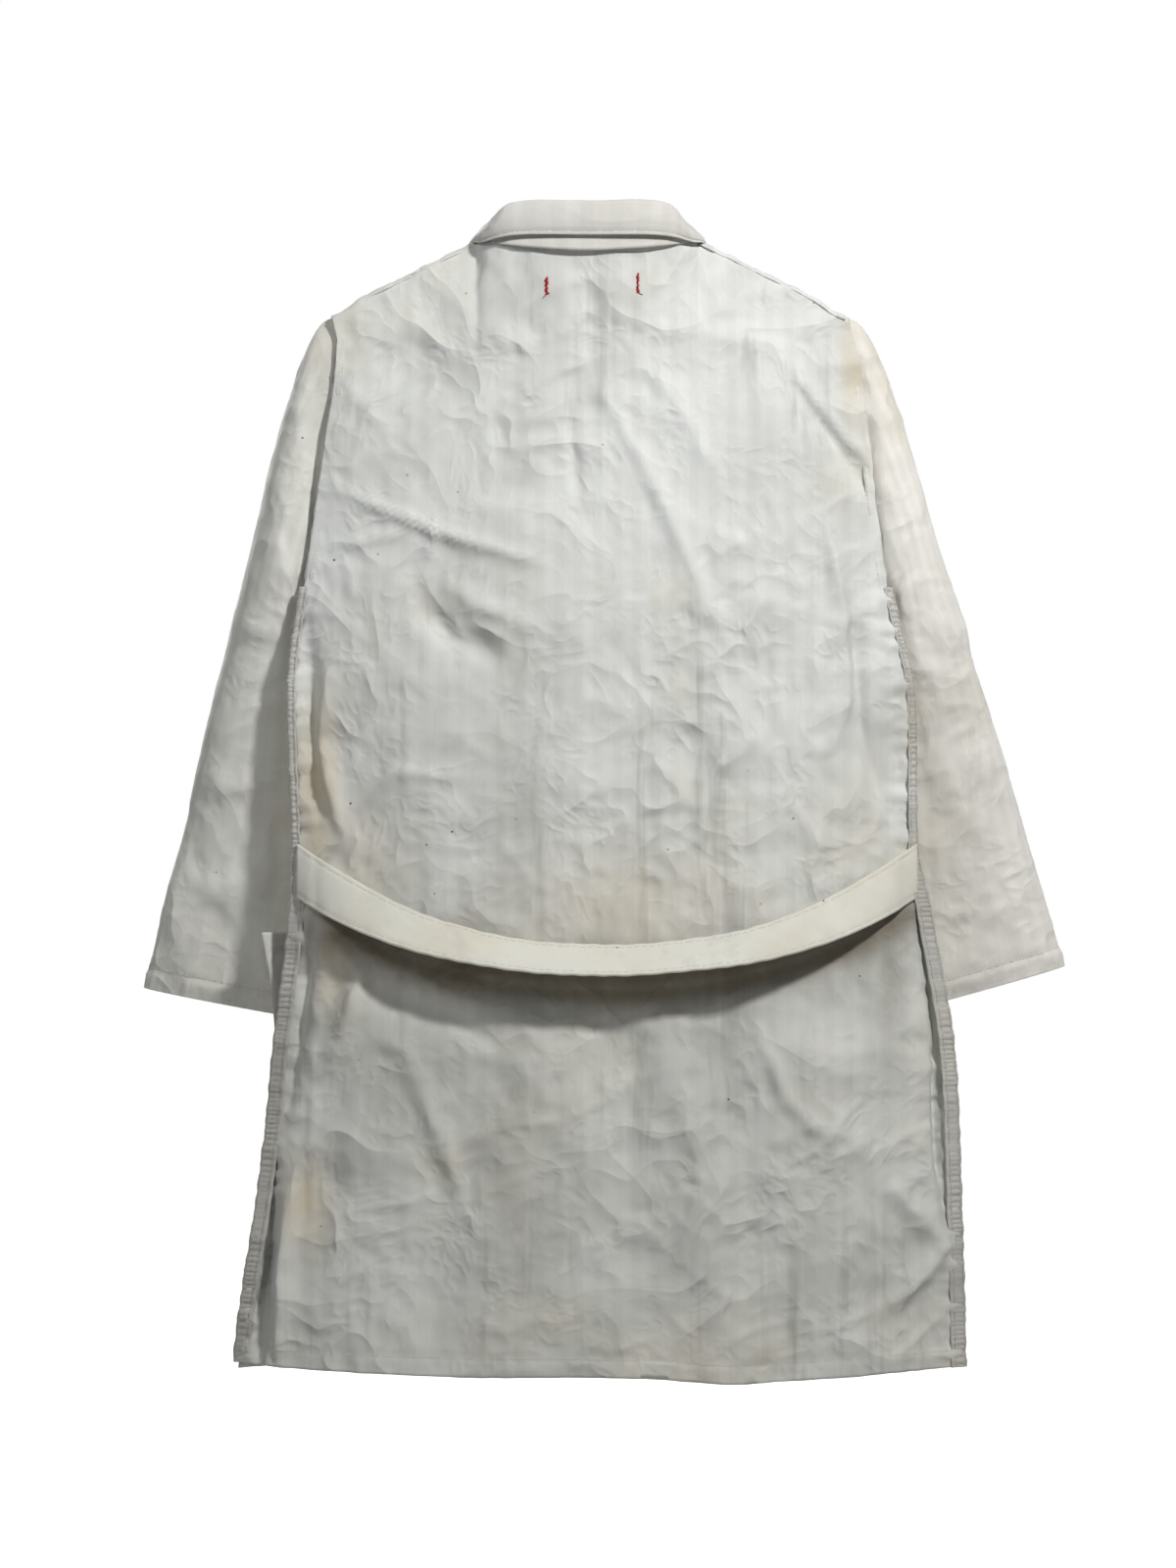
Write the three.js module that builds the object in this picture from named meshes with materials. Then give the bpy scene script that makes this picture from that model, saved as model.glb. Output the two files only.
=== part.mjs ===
// A lab coat hanging from its shoulders, unbuttoned, seen as separate cloth pieces.
// Millimetres. +X is the wearer's right, +Y is forward, +Z is up.
// The origin lies midway between the two neck ends of the shoulder seams.
import * as THREE from "three";

// ---------- driving dimensions ----------
const CLOTH = 1.6;                 // one layer of herringbone twill
const GAP = 1.4;                   // air between two layers that lie on each other
const NECK_HALF = 96;              // half the width of the neck opening
const NECK_BACK_DEPTH = 32;        // how far the back neckline curves out
const NECK_TOP_Z = 4;              // height of the neck ends of the shoulder seams
const SHOULDER_SLOPE = 0.49;       // fall of the shoulder seam per millimetre
const HEM_Z = -1000;               // level of the hem
const SPLIT_Z = -250;              // the fronts hang free below this level
const FLATNESS = 3;                // exponent of the body's rounded cross-section
const SEAM_Y = 2;                  // each panel's side edge stays this far from the seam plane
const BELT_HALF = 24;              // half the width of the back belt
const BELT_TILT = 1.05;            // how far the belt's face turns up at its middle, radians
const BUTTON_RADIUS = 9.5;
const BUTTON_THICK = 3;
const BUTTON_COUNT = 5;
const BUTTON_TOP_Z = -275;
const BUTTON_PITCH = 125;
const BUTTON_INSET = 19;           // from the front edge to a button's centre
const SHANK_LENGTH = 2.6;
const POCKET_TOP_Z = -614;
const POCKET_HEIGHT = 200;
const POCKET_WIDTH = 168;
const POCKET_GAPE = 18;            // how far a lower pocket's mouth stands open
const CHEST_POCKET = { outer: -212, inner: -120, top: -140, bottom: -240 };
const SLEEVE_SPLIT = 0.315;        // share of the sleeve above the moving part
const CAP_TOP_Z = -70;             // the fixed sleeve cap runs from here
const CAP_OUTER_Z = -266;          // to here at its outer side
const CAP_INNER_Z = -322;          // and to here beside the armhole
const LOOP_LEFT = -35;             // the hang loop's two bar tacks
const LOOP_RIGHT = 44;
const LOOP_Z = -40;
const TACK_HEIGHT = 15;

const CREAM = 0xd6d5cd;
const GREY_CREAM = 0xb4b2ab;
const BELT_CREAM = 0xdddcd0;
const RED_THREAD = 0xb01c2c;
const WHITE_THREAD = 0xe4e1d6;
const BUTTON_IVORY = 0xd9d2bd;

// ---------- curves that the whole coat follows ----------
function smoothKeys(keys) {
  // Catmull-Rom through [position, value] keys, held flat past both ends.
  return (at) => {
    const last = keys.length - 1;
    const falling = keys[0][0] > keys[last][0];
    const list = falling ? [...keys].reverse() : keys;
    if (at <= list[0][0]) return list[0][1];
    if (at >= list[last][0]) return list[last][1];
    let i = 0;
    while (at > list[i + 1][0]) i += 1;
    const t = (at - list[i][0]) / (list[i + 1][0] - list[i][0]);
    const a = list[Math.max(i - 1, 0)][1];
    const b = list[i][1];
    const c = list[i + 1][1];
    const d = list[Math.min(i + 2, last)][1];
    return 0.5 * (2 * b + (c - a) * t + (2 * a - 5 * b + 4 * c - d) * t * t
      + (3 * b - a - 3 * c + d) * t * t * t);
  };
}

const mix = (a, b, t) => a + (b - a) * t;

// The back panel's two long edges: armhole first, then side seam down to the hem.
const leftEdge = smoothKeys([[-62, -229], [-90, -224], [-192, -236], [-300, -251], [-390, -263],
  [-535, -260], [-600, -263], [-709, -276], [-814, -287], [-1000, -312]]);
const rightEdge = smoothKeys([[-62, 232], [-105, 243], [-236, 257], [-306, 267], [-394, 287],
  [-534, 290], [-590, 302], [-709, 322], [-814, 328], [-1000, 333]]);
const backDepth = smoothKeys([[0, 20], [-60, 24], [-150, 32], [-300, 42], [-540, 48], [-760, 54],
  [-1000, 62]]);
const frontDepth = smoothKeys([[0, 20], [-60, 26], [-150, 34], [-300, 44], [-540, 50], [-760, 56],
  [-1000, 60]]);
const edgeOf = { left: leftEdge, right: rightEdge };
const signOf = { left: -1, right: 1 };

// The free front edges, and the roll lines where the lapels fold over.
const frontEdge = {
  left: smoothKeys([[-250, -20], [-1000, -46]]),
  right: smoothKeys([[-250, 24], [-1000, 58]]),
};
const rollLine = {
  left: smoothKeys([[4, -95], [-60, -72], [-250, -21]]),
  right: smoothKeys([[4, 95], [-60, 74], [-250, 25]]),
};

const shoulderZ = (x) => NECK_TOP_Z - SHOULDER_SLOPE * (Math.abs(x) - NECK_HALF);

function acrossBody(x, z) {
  // 0 at the left seam, 1 at the right seam
  return (x - leftEdge(z)) / (rightEdge(z) - leftEdge(z));
}

function roundness(x, z) {
  const offCentre = Math.min(Math.abs(2 * acrossBody(x, z) - 1), 1);
  return 1 - offCentre ** FLATNESS;
}

function fromShoulder(x, z) {
  // 0 on the shoulder seam, 1 from 170 mm below it
  const below = Math.max(shoulderZ(Math.max(Math.abs(x), NECK_HALF)) - z, 0);
  return 1 - (1 - Math.min(below / 170, 1)) ** 2;
}

function neckBackY(x) {
  return -NECK_BACK_DEPTH * Math.sqrt(Math.max(1 - (x / NECK_HALF) ** 2, 0));
}

function backY(x, z) {
  const body = -SEAM_Y - backDepth(z) * roundness(x, z);
  const top = Math.abs(x) < NECK_HALF ? neckBackY(x) : 0;
  return mix(Math.min(top, -SEAM_Y), body, fromShoulder(x, z));
}

function frontY(x, z) {
  const body = SEAM_Y + frontDepth(z) * roundness(x, z);
  return mix(SEAM_Y, body, fromShoulder(x, z));
}

// ---------- building blocks ----------
function warpedSheet(nu, nv, middle, thickness = CLOTH) {
  // A thin closed slab: a box grid laid on the surface middle(u, v), u and v from 0 to 1.
  const box = new THREE.BoxGeometry(1, 1, 1, nu, 1, nv);
  const spots = box.attributes.position;
  const step = 1e-3;
  for (let i = 0; i < spots.count; i += 1) {
    const u = spots.getX(i) + 0.5;
    const v = spots.getZ(i) + 0.5;
    const side = spots.getY(i);
    const alongU = middle(Math.min(u + step, 1), v).sub(middle(Math.max(u - step, 0), v));
    const alongV = middle(u, Math.min(v + step, 1)).sub(middle(u, Math.max(v - step, 0)));
    const normal = alongV.cross(alongU).normalize();
    const spot = middle(u, v).addScaledVector(normal, side * thickness);
    spots.setXYZ(i, spot.x, spot.y, spot.z);
  }
  box.computeVertexNormals();
  return box;
}

function ringTube(segments, steps, start, end, centreAndArms, wall) {
  // A tube of elliptical rings with a wall: the lathe gives the closed form, then it is warped.
  // Each ring has a centre, an arm to its outer end, a half depth and a hand, -1 left or 1 right.
  const profile = [];
  for (let i = 0; i <= steps; i += 1) profile.push(new THREE.Vector2(1, i / steps));
  for (let i = steps; i >= 0; i -= 1) profile.push(new THREE.Vector2(2, i / steps));
  profile.push(profile[0].clone());
  const lathe = new THREE.LatheGeometry(profile, segments);
  const spots = lathe.attributes.position;
  for (let i = 0; i < spots.count; i += 1) {
    const turn = Math.atan2(spots.getZ(i), spots.getX(i));
    const inside = Math.hypot(spots.getX(i), spots.getZ(i)) < 1.5 ? wall : 0;
    const ring = centreAndArms(mix(start, end, spots.getY(i)));
    const reach = ring.arm.length();
    const wide = ring.arm.clone().multiplyScalar((reach - inside) / reach * Math.cos(turn));
    const spot = ring.centre.clone().add(wide);
    spot.y -= ring.hand * (ring.depth - inside) * Math.sin(turn);
    spots.setXYZ(i, spot.x, spot.y, spot.z);
  }
  lathe.computeVertexNormals();
  return lathe;
}

const coat = new THREE.Group();

function piece(name, geometry, colour = CREAM, roughness = 0.9) {
  const material = new THREE.MeshStandardMaterial({ color: colour, roughness, metalness: 0 });
  const mesh = new THREE.Mesh(geometry, material);
  mesh.name = name;
  coat.add(mesh);
  return mesh;
}

// ---------- back ----------
function hemZ(x) {
  return HEM_Z - 6 * Math.exp(-(((x - 138) / 90) ** 2)) + 5 * (x < -150 ? 1 : 0) * ((-150 - x) / 160);
}

function backPanel(u, v) {
  const topX = mix(leftEdge(-62), rightEdge(-62), u);
  const dip = 6 * Math.max(1 - (topX / NECK_HALF) ** 2, 0);
  const topZ = Math.abs(topX) > NECK_HALF ? shoulderZ(topX) : NECK_TOP_Z - dip;
  const z = mix(hemZ(topX), topZ - 1, v);
  const x = mix(leftEdge(z), rightEdge(z), u);
  return new THREE.Vector3(x, backY(x, z), z);
}
piece("back_panel", warpedSheet(16, 16, backPanel), GREY_CREAM);

function backNeckFacing(u, v) {
  const x = mix(-86, 86, u);
  const z = mix(-28 + 14 * Math.abs(2 * u - 1) ** 2, -5, v);
  return new THREE.Vector3(x, backY(x, z) + CLOTH + 2 * GAP, z);
}
piece("back_neck_facing", warpedSheet(10, 2, backNeckFacing));

function neckLabel(u, v) {
  const x = mix(-22, 31, u);
  const z = mix(-25, -8, v);
  return new THREE.Vector3(x, backY(x, z) + 2 * CLOTH + 4 * GAP, z);
}
piece("neck_label_blank", warpedSheet(4, 1, neckLabel, 0.9), WHITE_THREAD);

for (const [side, x] of [["left", LOOP_LEFT], ["right", LOOP_RIGHT]]) {
  const tack = (u, v) => {
    const spotX = x + mix(-1.1, 1.1, u);
    const z = LOOP_Z + mix(-TACK_HEIGHT / 2, TACK_HEIGHT / 2, v);
    return new THREE.Vector3(spotX, backY(spotX, z) - CLOTH / 2 - 2, z);
  };
  piece(`bar_tack_${side}`, warpedSheet(1, 2, tack, 1), RED_THREAD, 0.6);
}

function hangLoop(u, v) {
  const bow = 1 - (2 * u - 1) ** 2;
  const x = mix(LOOP_LEFT - 3, LOOP_RIGHT + 3, u);
  const z = LOOP_Z + mix(-4.5, 4.5, v) - 16 * bow;
  return new THREE.Vector3(x, backY(x, LOOP_Z) + 3 + 13 * bow, z);
}
piece("hang_loop", warpedSheet(10, 1, hangLoop, 1.2), WHITE_THREAD);

// ---------- seams ----------
for (const side of ["left", "right"]) {
  const out = signOf[side];
  const sideSeam = (u, v) => {
    const z = mix(hemZ(0) + 4, -308, v);
    return new THREE.Vector3(edgeOf[side](z) + out * 3.2, mix(-7, 4, u), z);
  };
  piece(`side_seam_${side}`, warpedSheet(1, 18, sideSeam, 2), GREY_CREAM);
  const shoulderSeam = (u, v) => {
    const x = out * mix(118, 226, u);
    return new THREE.Vector3(x, mix(-6, 6, v), shoulderZ(x) + 2.4);
  };
  piece(`shoulder_seam_${side}`, warpedSheet(4, 1, shoulderSeam, 1.6));
}

// ---------- back belt ----------
const beltEndX = { left: -259, right: 293 };
const beltCentreZ = (reach) => -634 + 76 * reach ** 2.3;
function beltPoint(u, v) {
  const reach = Math.abs(2 * u - 1);
  const tilt = BELT_TILT * (1 - reach ** 3);
  const across = mix(-BELT_HALF, BELT_HALF, v);
  const x = mix(beltEndX.left, beltEndX.right, u);
  const z = beltCentreZ(reach) + across * Math.cos(tilt);
  const topZ = beltCentreZ(reach) + BELT_HALF * Math.cos(tilt);
  const nearest = backY(x, topZ) - mix(11, 6, reach ** 4);
  return new THREE.Vector3(x, nearest - (BELT_HALF - across) * Math.sin(tilt), z);
}
const BELT_SEWN = 0.022;           // share of the belt caught in each side seam
piece("back_belt", warpedSheet(24, 2, (u, v) => beltPoint(mix(BELT_SEWN, 1 - BELT_SEWN, u), v), 2.4),
  BELT_CREAM);
piece("belt_end_left", warpedSheet(1, 1, (u, v) => beltPoint(mix(0.002, BELT_SEWN - 0.002, u), v), 2.4),
  BELT_CREAM);
piece("belt_end_right",
  warpedSheet(1, 1, (u, v) => beltPoint(mix(1.002 - BELT_SEWN, 0.998, u), v), 2.4), BELT_CREAM);

// ---------- fronts ----------
for (const side of ["left", "right"]) {
  const out = signOf[side];
  const inward = -out;
  const yoke = (u, v) => {
    const topX = mix(edgeOf[side](-62), out * (NECK_HALF + 1), u);
    const z = mix(SPLIT_Z + 1, shoulderZ(topX) - 1, v);
    const x = mix(edgeOf[side](z), rollLine[side](z), u);
    return new THREE.Vector3(x, frontY(x, z), z);
  };
  piece(`front_top_${side}`, warpedSheet(7, 7, yoke));

  const lapel = (u, v) => {
    const z = mix(SPLIT_Z + 6, mix(-84, -104, u), v);
    const wide = mix(5, 62, v ** 0.8);
    const x = rollLine[side](z) + out * wide * u;
    return new THREE.Vector3(x, frontY(x, z) + 4 + 3 * (1 - u), z);
  };
  piece(`lapel_${side}`, warpedSheet(4, 6, lapel));

  const frontPanel = (u, v) => {
    const z = mix(HEM_Z - 2, SPLIT_Z - 1, v);
    const x = mix(edgeOf[side](z) + inward * 8, frontEdge[side](z), u);
    return new THREE.Vector3(x, frontY(x, z), z);
  };
  piece(`front_panel_${side}`, warpedSheet(8, 12, frontPanel), GREY_CREAM);

  const facing = (u, v) => {
    const z = mix(HEM_Z + 6, SPLIT_Z - 6, v);
    const x = frontEdge[side](z) + out * mix(1, 62, u);
    return new THREE.Vector3(x, frontY(x, z) - CLOTH - GAP, z);
  };
  piece(`front_facing_${side}`, warpedSheet(2, 10, facing));

  const outerX = (z) => edgeOf[side](z) + inward * 8;
  const lowerPocket = (u, v) => {
    const z = POCKET_TOP_Z - POCKET_HEIGHT * (1 - v);
    const bulge = POCKET_GAPE * v ** 1.6;
    const x = outerX(z) + inward * POCKET_WIDTH * u + out * bulge * (1 - u) ** 4;
    const lift = bulge * Math.sin(Math.PI * mix(0.12, 1, u));
    return new THREE.Vector3(x, frontY(outerX(z) + inward * POCKET_WIDTH * u, z)
      + CLOTH + GAP + lift, z);
  };
  piece(`lower_pocket_${side}`, warpedSheet(8, 7, lowerPocket), GREY_CREAM);

  for (const [end, share] of [["outer", 0.06], ["inner", 0.97]]) {
    const tack = (u, v) => {
      const spot = lowerPocket(share + mix(-0.006, 0.006, u), 0.96 + mix(-0.03, 0.03, v));
      spot.y += CLOTH / 2 + 0.9;
      return spot;
    };
    piece(`pocket_tack_${side}_${end}`, warpedSheet(1, 1, tack, 0.8), WHITE_THREAD);
  }
}

// ---------- breast pocket, on the wearer's left ----------
function chestPocket(u, v) {
  const x = mix(CHEST_POCKET.outer, CHEST_POCKET.inner, u);
  const z = mix(CHEST_POCKET.bottom, CHEST_POCKET.top, v);
  const gape = 7 * v ** 2 * Math.sin(Math.PI * u);
  return new THREE.Vector3(x, frontY(x, z) + CLOTH + GAP + gape, z);
}
piece("breast_pocket", warpedSheet(5, 5, chestPocket));

function flatHem() {
  // The mouth's turned hem is pressed flat, so a pen clip or a badge seats on it.
  const wide = CHEST_POCKET.inner - CHEST_POCKET.outer - 4;
  const hem = new THREE.BoxGeometry(wide, 2.4, 20, 3, 1, 1);
  const x = (CHEST_POCKET.inner + CHEST_POCKET.outer) / 2;
  const y = frontY(CHEST_POCKET.inner, CHEST_POCKET.top) + 16;
  hem.translate(x, y, CHEST_POCKET.top - 10);
  return hem;
}
piece("breast_pocket_hem", flatHem());

// ---------- collar ----------
function neckCurve(points) {
  // Points are given for the wearer's right half, back first, and mirrored to the left.
  const right = points.map(([x, y, z]) => new THREE.Vector3(x, y, z));
  const left = right.slice(1).reverse().map((spot) => new THREE.Vector3(-spot.x, spot.y, spot.z));
  return new THREE.CatmullRomCurve3([...left, ...right], false, "centripetal");
}
const onFront = (x, z, lift) => [x, frontY(x, z) + lift, z];
const standFoot = neckCurve([[0, -34.5, 0], [58, -29, 2.5], [88, -16, 8], [97, 2, 13],
  onFront(86, -18, 7), onFront(72, -60, 9)]);
const foldLine = neckCurve([[0, -37, 39], [52, -33, 38], [86, -20, 25], [100, 2, 20],
  onFront(90, -14, 15), onFront(76, -58, 14)]);
const fallEdge = neckCurve([[0, -47, 7], [60, -44, 5], [98, -29, 5], [114, 2, 8],
  onFront(116, -28, 13), onFront(124, -70, 11)]);

function ruled(first, second, from, to, lift, bow) {
  return (u, v) => {
    const spot = first.getPoint(u).lerp(second.getPoint(u), mix(from, to, v));
    const swell = bow * Math.sin(Math.PI * v);
    const outward = new THREE.Vector3(spot.x, spot.y * 3 - 20, 0).normalize();
    return spot.addScaledVector(outward, lift + swell);
  };
}
piece("collar_stand", warpedSheet(24, 1, ruled(standFoot, foldLine, 0.05, 0.92, 0, 0)));
piece("under_collar", warpedSheet(24, 1, ruled(foldLine, fallEdge, 0.12, 0.9, 1.2, 1)));
piece("collar_fall", warpedSheet(24, 2, ruled(foldLine, fallEdge, 0.02, 1, 5.8, 1.6)));

// ---------- sleeves ----------
// Each key: share of the length, outer edge x z, inner edge x z, middle y, half depth.
const sleeveKeys = {
  left: [[0, -236, -66, -257, -302, 0, 12], [0.1, -260, -112, -261, -309, 10, 26],
    [0.2, -284, -190, -264, -317, 24, 41], [0.3, -304, -268, -267, -328, 36, 50],
    [0.6, -350, -446, -270, -476, 68, 38], [1, -406, -668, -254, -697, 93, 19]],
  right: [[0, 239, -66, 273, -308, 0, 12], [0.1, 264, -110, 278, -314, 10, 26],
    [0.2, 292, -190, 284, -321, 24, 41], [0.3, 316, -268, 290, -332, 36, 50],
    [0.6, 374, -446, 298, -476, 68, 38], [1, 436, -648, 286, -690, 93, 19]],
};
for (const side of ["left", "right"]) {
  const key = (index) => smoothKeys(sleeveKeys[side].map((row) => [row[0], row[index]]));
  const [outX, outZ, inX, inZ, midY, halfY] = [1, 2, 3, 4, 5, 6].map(key);
  const sleeveRing = (share) => {
    const outer = new THREE.Vector3(outX(share), midY(share), outZ(share));
    const inner = new THREE.Vector3(inX(share), midY(share), inZ(share));
    const centre = outer.clone().add(inner).multiplyScalar(0.5);
    return { centre, arm: outer.sub(centre), depth: halfY(share), hand: signOf[side] };
  };
  const hemRing = (share) => {
    const ring = sleeveRing(share);
    ring.arm.setLength(ring.arm.length() - CLOTH - GAP);
    ring.depth -= CLOTH + GAP;
    return ring;
  };
  const out = signOf[side];
  const capOuter = smoothKeys(sleeveKeys[side].slice(0, 4).map((row) => [row[2], row[1]]));
  const capDepth = smoothKeys([[-66, 7], [-112, 18], [-190, 34], [-268, 44], [-322, 46]]);
  const capMiddle = smoothKeys([[-66, 0], [-112, 8], [-190, 20], [-268, 30], [-322, 34]]);
  const cap = (u, v) => {
    // Half a pipe round the outside of the arm, open to the body through the armhole.
    const turn = Math.PI * (u - 0.5) * out;
    const foot = mix(CAP_OUTER_Z, CAP_INNER_Z, Math.abs(2 * u - 1) ** 1.5);
    const z = mix(foot, CAP_TOP_Z, v);
    const root = edgeOf[side](z) + out * 6;
    return new THREE.Vector3(root + (capOuter(z) - root) * Math.cos(turn),
      capMiddle(z) + capDepth(z) * Math.sin(turn), z);
  };
  piece(`sleeve_cap_${side}`, warpedSheet(10, 6, cap));
  piece(`sleeve_${side}`, ringTube(14, 6, SLEEVE_SPLIT, 1, sleeveRing, CLOTH));
  piece(`cuff_hem_${side}`, ringTube(14, 1, 0.962, 0.998, hemRing, CLOTH));
}

// ---------- buttons, their thread shanks and the buttonholes ----------
function buttonShape() {
  const disc = new THREE.Shape().absarc(0, 0, BUTTON_RADIUS - 0.5, 0, 2 * Math.PI, false);
  for (let i = 0; i < 4; i += 1) {
    const turn = Math.PI / 4 + (i * Math.PI) / 2;
    const hole = new THREE.Path();
    hole.absarc(2.4 * Math.cos(turn), 2.4 * Math.sin(turn), 0.9, 0, 2 * Math.PI, true);
    disc.holes.push(hole);
  }
  return disc;
}

function buttonholeShape() {
  const ring = new THREE.Shape();
  ring.absarc(-9, 0, 2.6, Math.PI / 2, 1.5 * Math.PI, false);
  ring.absarc(9, 0, 2.6, -Math.PI / 2, Math.PI / 2, false);
  ring.closePath();
  const slit = new THREE.Path();
  slit.moveTo(-9, 0.5);
  slit.lineTo(9, 0.5);
  slit.lineTo(9, -0.5);
  slit.lineTo(-9, -0.5);
  slit.closePath();
  ring.holes.push(slit);
  return ring;
}

for (let i = 0; i < BUTTON_COUNT; i += 1) {
  const z = BUTTON_TOP_Z - i * BUTTON_PITCH;
  const x = frontEdge.right(z) + BUTTON_INSET;
  const clothY = frontY(x, z) + CLOTH / 2;
  const backOfButton = clothY + 0.9 + SHANK_LENGTH;
  const disc = new THREE.ExtrudeGeometry(buttonShape(), {
    depth: BUTTON_THICK - 1, curveSegments: 6, bevelThickness: 0.5, bevelSize: 0.5, bevelOffset: 0,
    bevelSegments: 1,
  });
  disc.rotateX(-Math.PI / 2);
  const button = piece(`button_${i + 1}`, disc, BUTTON_IVORY, 0.35);
  button.position.set(x, backOfButton + 0.8, z);
  const shank = new THREE.CylinderGeometry(1.5, 1.8, SHANK_LENGTH, 8);
  const thread = piece(`button_shank_${i + 1}`, shank, WHITE_THREAD);
  thread.position.set(x, clothY + 0.4 + SHANK_LENGTH / 2, z);

  const holeX = frontEdge.left(z) - BUTTON_INSET;
  const stitches = new THREE.ExtrudeGeometry(buttonholeShape(), {
    depth: 0.8, curveSegments: 4, bevelEnabled: false,
  });
  stitches.rotateX(-Math.PI / 2);
  const buttonhole = piece(`buttonhole_${i + 1}`, stitches, WHITE_THREAD);
  buttonhole.position.set(holeX, frontY(holeX, z) + CLOTH / 2 + 0.9, z);
}

export default coat;
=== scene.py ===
"""The looks of a lab coat hanging open from its shoulders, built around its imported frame."""

import math
from types import SimpleNamespace

import bmesh
import bpy
import numpy as np
from mathutils import Matrix, Vector, noise


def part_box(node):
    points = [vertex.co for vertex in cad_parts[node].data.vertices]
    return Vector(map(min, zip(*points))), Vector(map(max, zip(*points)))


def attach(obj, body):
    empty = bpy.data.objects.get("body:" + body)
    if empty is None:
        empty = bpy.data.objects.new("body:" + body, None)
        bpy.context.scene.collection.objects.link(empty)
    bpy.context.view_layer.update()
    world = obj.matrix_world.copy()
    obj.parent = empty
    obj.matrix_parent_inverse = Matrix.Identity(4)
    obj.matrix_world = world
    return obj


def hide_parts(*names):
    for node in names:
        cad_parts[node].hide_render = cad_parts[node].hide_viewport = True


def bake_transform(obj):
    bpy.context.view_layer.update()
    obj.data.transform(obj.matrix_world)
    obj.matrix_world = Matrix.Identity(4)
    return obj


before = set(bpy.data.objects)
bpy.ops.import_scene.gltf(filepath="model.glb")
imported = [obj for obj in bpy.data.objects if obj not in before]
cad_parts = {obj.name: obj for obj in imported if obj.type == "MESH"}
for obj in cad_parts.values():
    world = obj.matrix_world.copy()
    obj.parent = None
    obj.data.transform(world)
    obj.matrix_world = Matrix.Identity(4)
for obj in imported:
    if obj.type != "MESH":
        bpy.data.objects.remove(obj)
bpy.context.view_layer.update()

# ---------------------------------------------------------------- sizes, metres
MM = 0.001
CLOTH = 1.2 * MM              # thickness of one layer of twill
HEM = 17 * MM                 # depth of a turned hem
STITCH_PITCH = 3.4 * MM       # from one stitch to the next
NECK_HALF = 0.096             # half the width of the neck opening
NECK_BACK_DEPTH = 0.032
NECK_TOP_Z = 0.004
SHOULDER_SLOPE = 0.49
SHOULDER_TIP_Z = -0.062
CHEST_Z = -0.250              # the lapels end here
HEM_Z = -1.000
FLATNESS = 3                  # exponent of the body's rounded cross-section
SHOULDER_ROUNDING = 0.004     # how far the shoulder drops where the sleeve is set in

LEFT, RIGHT = "left", "right"
OUTWARD = {LEFT: -1, RIGHT: 1}


# ---------------------------------------------------------------- curves of the drape
def mix(a, b, t):
    return a + (b - a) * t


def smooth_keys(*pairs):
    """A Catmull-Rom curve through (position, value) pairs, flat past both ends."""
    spots = sorted(pairs)
    at = np.array([p[0] for p in spots], float)
    to = np.array([p[1] for p in spots], float)

    def value(x):
        x = np.clip(x, at[0], at[-1])
        i = np.clip(np.searchsorted(at, x, side="right") - 1, 0, len(at) - 2)
        t = (x - at[i]) / (at[i + 1] - at[i])
        a, b = to[np.maximum(i - 1, 0)], to[i]
        c, d = to[i + 1], to[np.minimum(i + 2, len(at) - 1)]
        bend = (2 * a - 5 * b + 4 * c - d) * t * t + (3 * b - a - 3 * c + d) * t**3
        return 0.5 * (2 * b + (c - a) * t + bend)

    return value


def smoothstep(low, high, x):
    t = np.clip((x - low) / (high - low), 0, 1)
    return t * t * (3 - 2 * t)


def bump(x, centre, width):
    return np.exp(-(((x - centre) / width) ** 2))


EDGE = {
    LEFT: smooth_keys((-0.062, -0.229), (-0.090, -0.224), (-0.192, -0.236), (-0.300, -0.251),
                      (-0.390, -0.263), (-0.535, -0.260), (-0.600, -0.263), (-0.709, -0.276),
                      (-0.814, -0.287), (-1.000, -0.312)),
    RIGHT: smooth_keys((-0.062, 0.232), (-0.105, 0.243), (-0.236, 0.257), (-0.306, 0.267),
                       (-0.394, 0.287), (-0.534, 0.290), (-0.590, 0.302), (-0.709, 0.322),
                       (-0.814, 0.328), (-1.000, 0.333)),
}
BACK_DEPTH = smooth_keys((0, 0.020), (-0.060, 0.024), (-0.150, 0.032), (-0.300, 0.042),
                         (-0.540, 0.048), (-0.760, 0.054), (-1.000, 0.062))
FRONT_DEPTH = smooth_keys((0, 0.020), (-0.060, 0.026), (-0.150, 0.034), (-0.300, 0.044),
                          (-0.540, 0.050), (-0.760, 0.056), (-1.000, 0.060))
FRONT_EDGE = {
    LEFT: smooth_keys((-0.250, -0.020), (-1.000, -0.046)),
    RIGHT: smooth_keys((-0.250, 0.024), (-1.000, 0.058)),
}
ROLL_LINE = {
    LEFT: smooth_keys((0.004, -0.095), (-0.060, -0.072), (-0.250, -0.021)),
    RIGHT: smooth_keys((0.004, 0.095), (-0.060, 0.074), (-0.250, 0.025)),
}
# How far each side seam is pulled towards the wearer's back.
SEAM_LEAN = {
    LEFT: smooth_keys((-0.06, 0), (-0.20, 0.010), (-0.40, 0.014), (-0.55, 0.004), (-0.75, 0.006),
                      (-1.00, 0.010)),
    RIGHT: smooth_keys((-0.06, 0), (-0.20, 0.002), (-0.40, 0.003), (-0.55, 0.002), (-0.75, 0.004),
                       (-1.00, 0.004)),
}


def shoulder_z(x):
    """The shoulder's slope, which rounds off where the sleeve is set in."""
    slope = NECK_TOP_Z - SHOULDER_SLOPE * (np.abs(x) - NECK_HALF)
    return slope - SHOULDER_ROUNDING * smoothstep(0.198, 0.222, np.abs(x))


def across_body(x, z):
    """0 at the left seam, 1 at the right seam."""
    return (x - EDGE[LEFT](z)) / (EDGE[RIGHT](z) - EDGE[LEFT](z))


def roundness(x, z):
    return 1 - np.minimum(np.abs(2 * across_body(x, z) - 1), 1) ** FLATNESS


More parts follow.
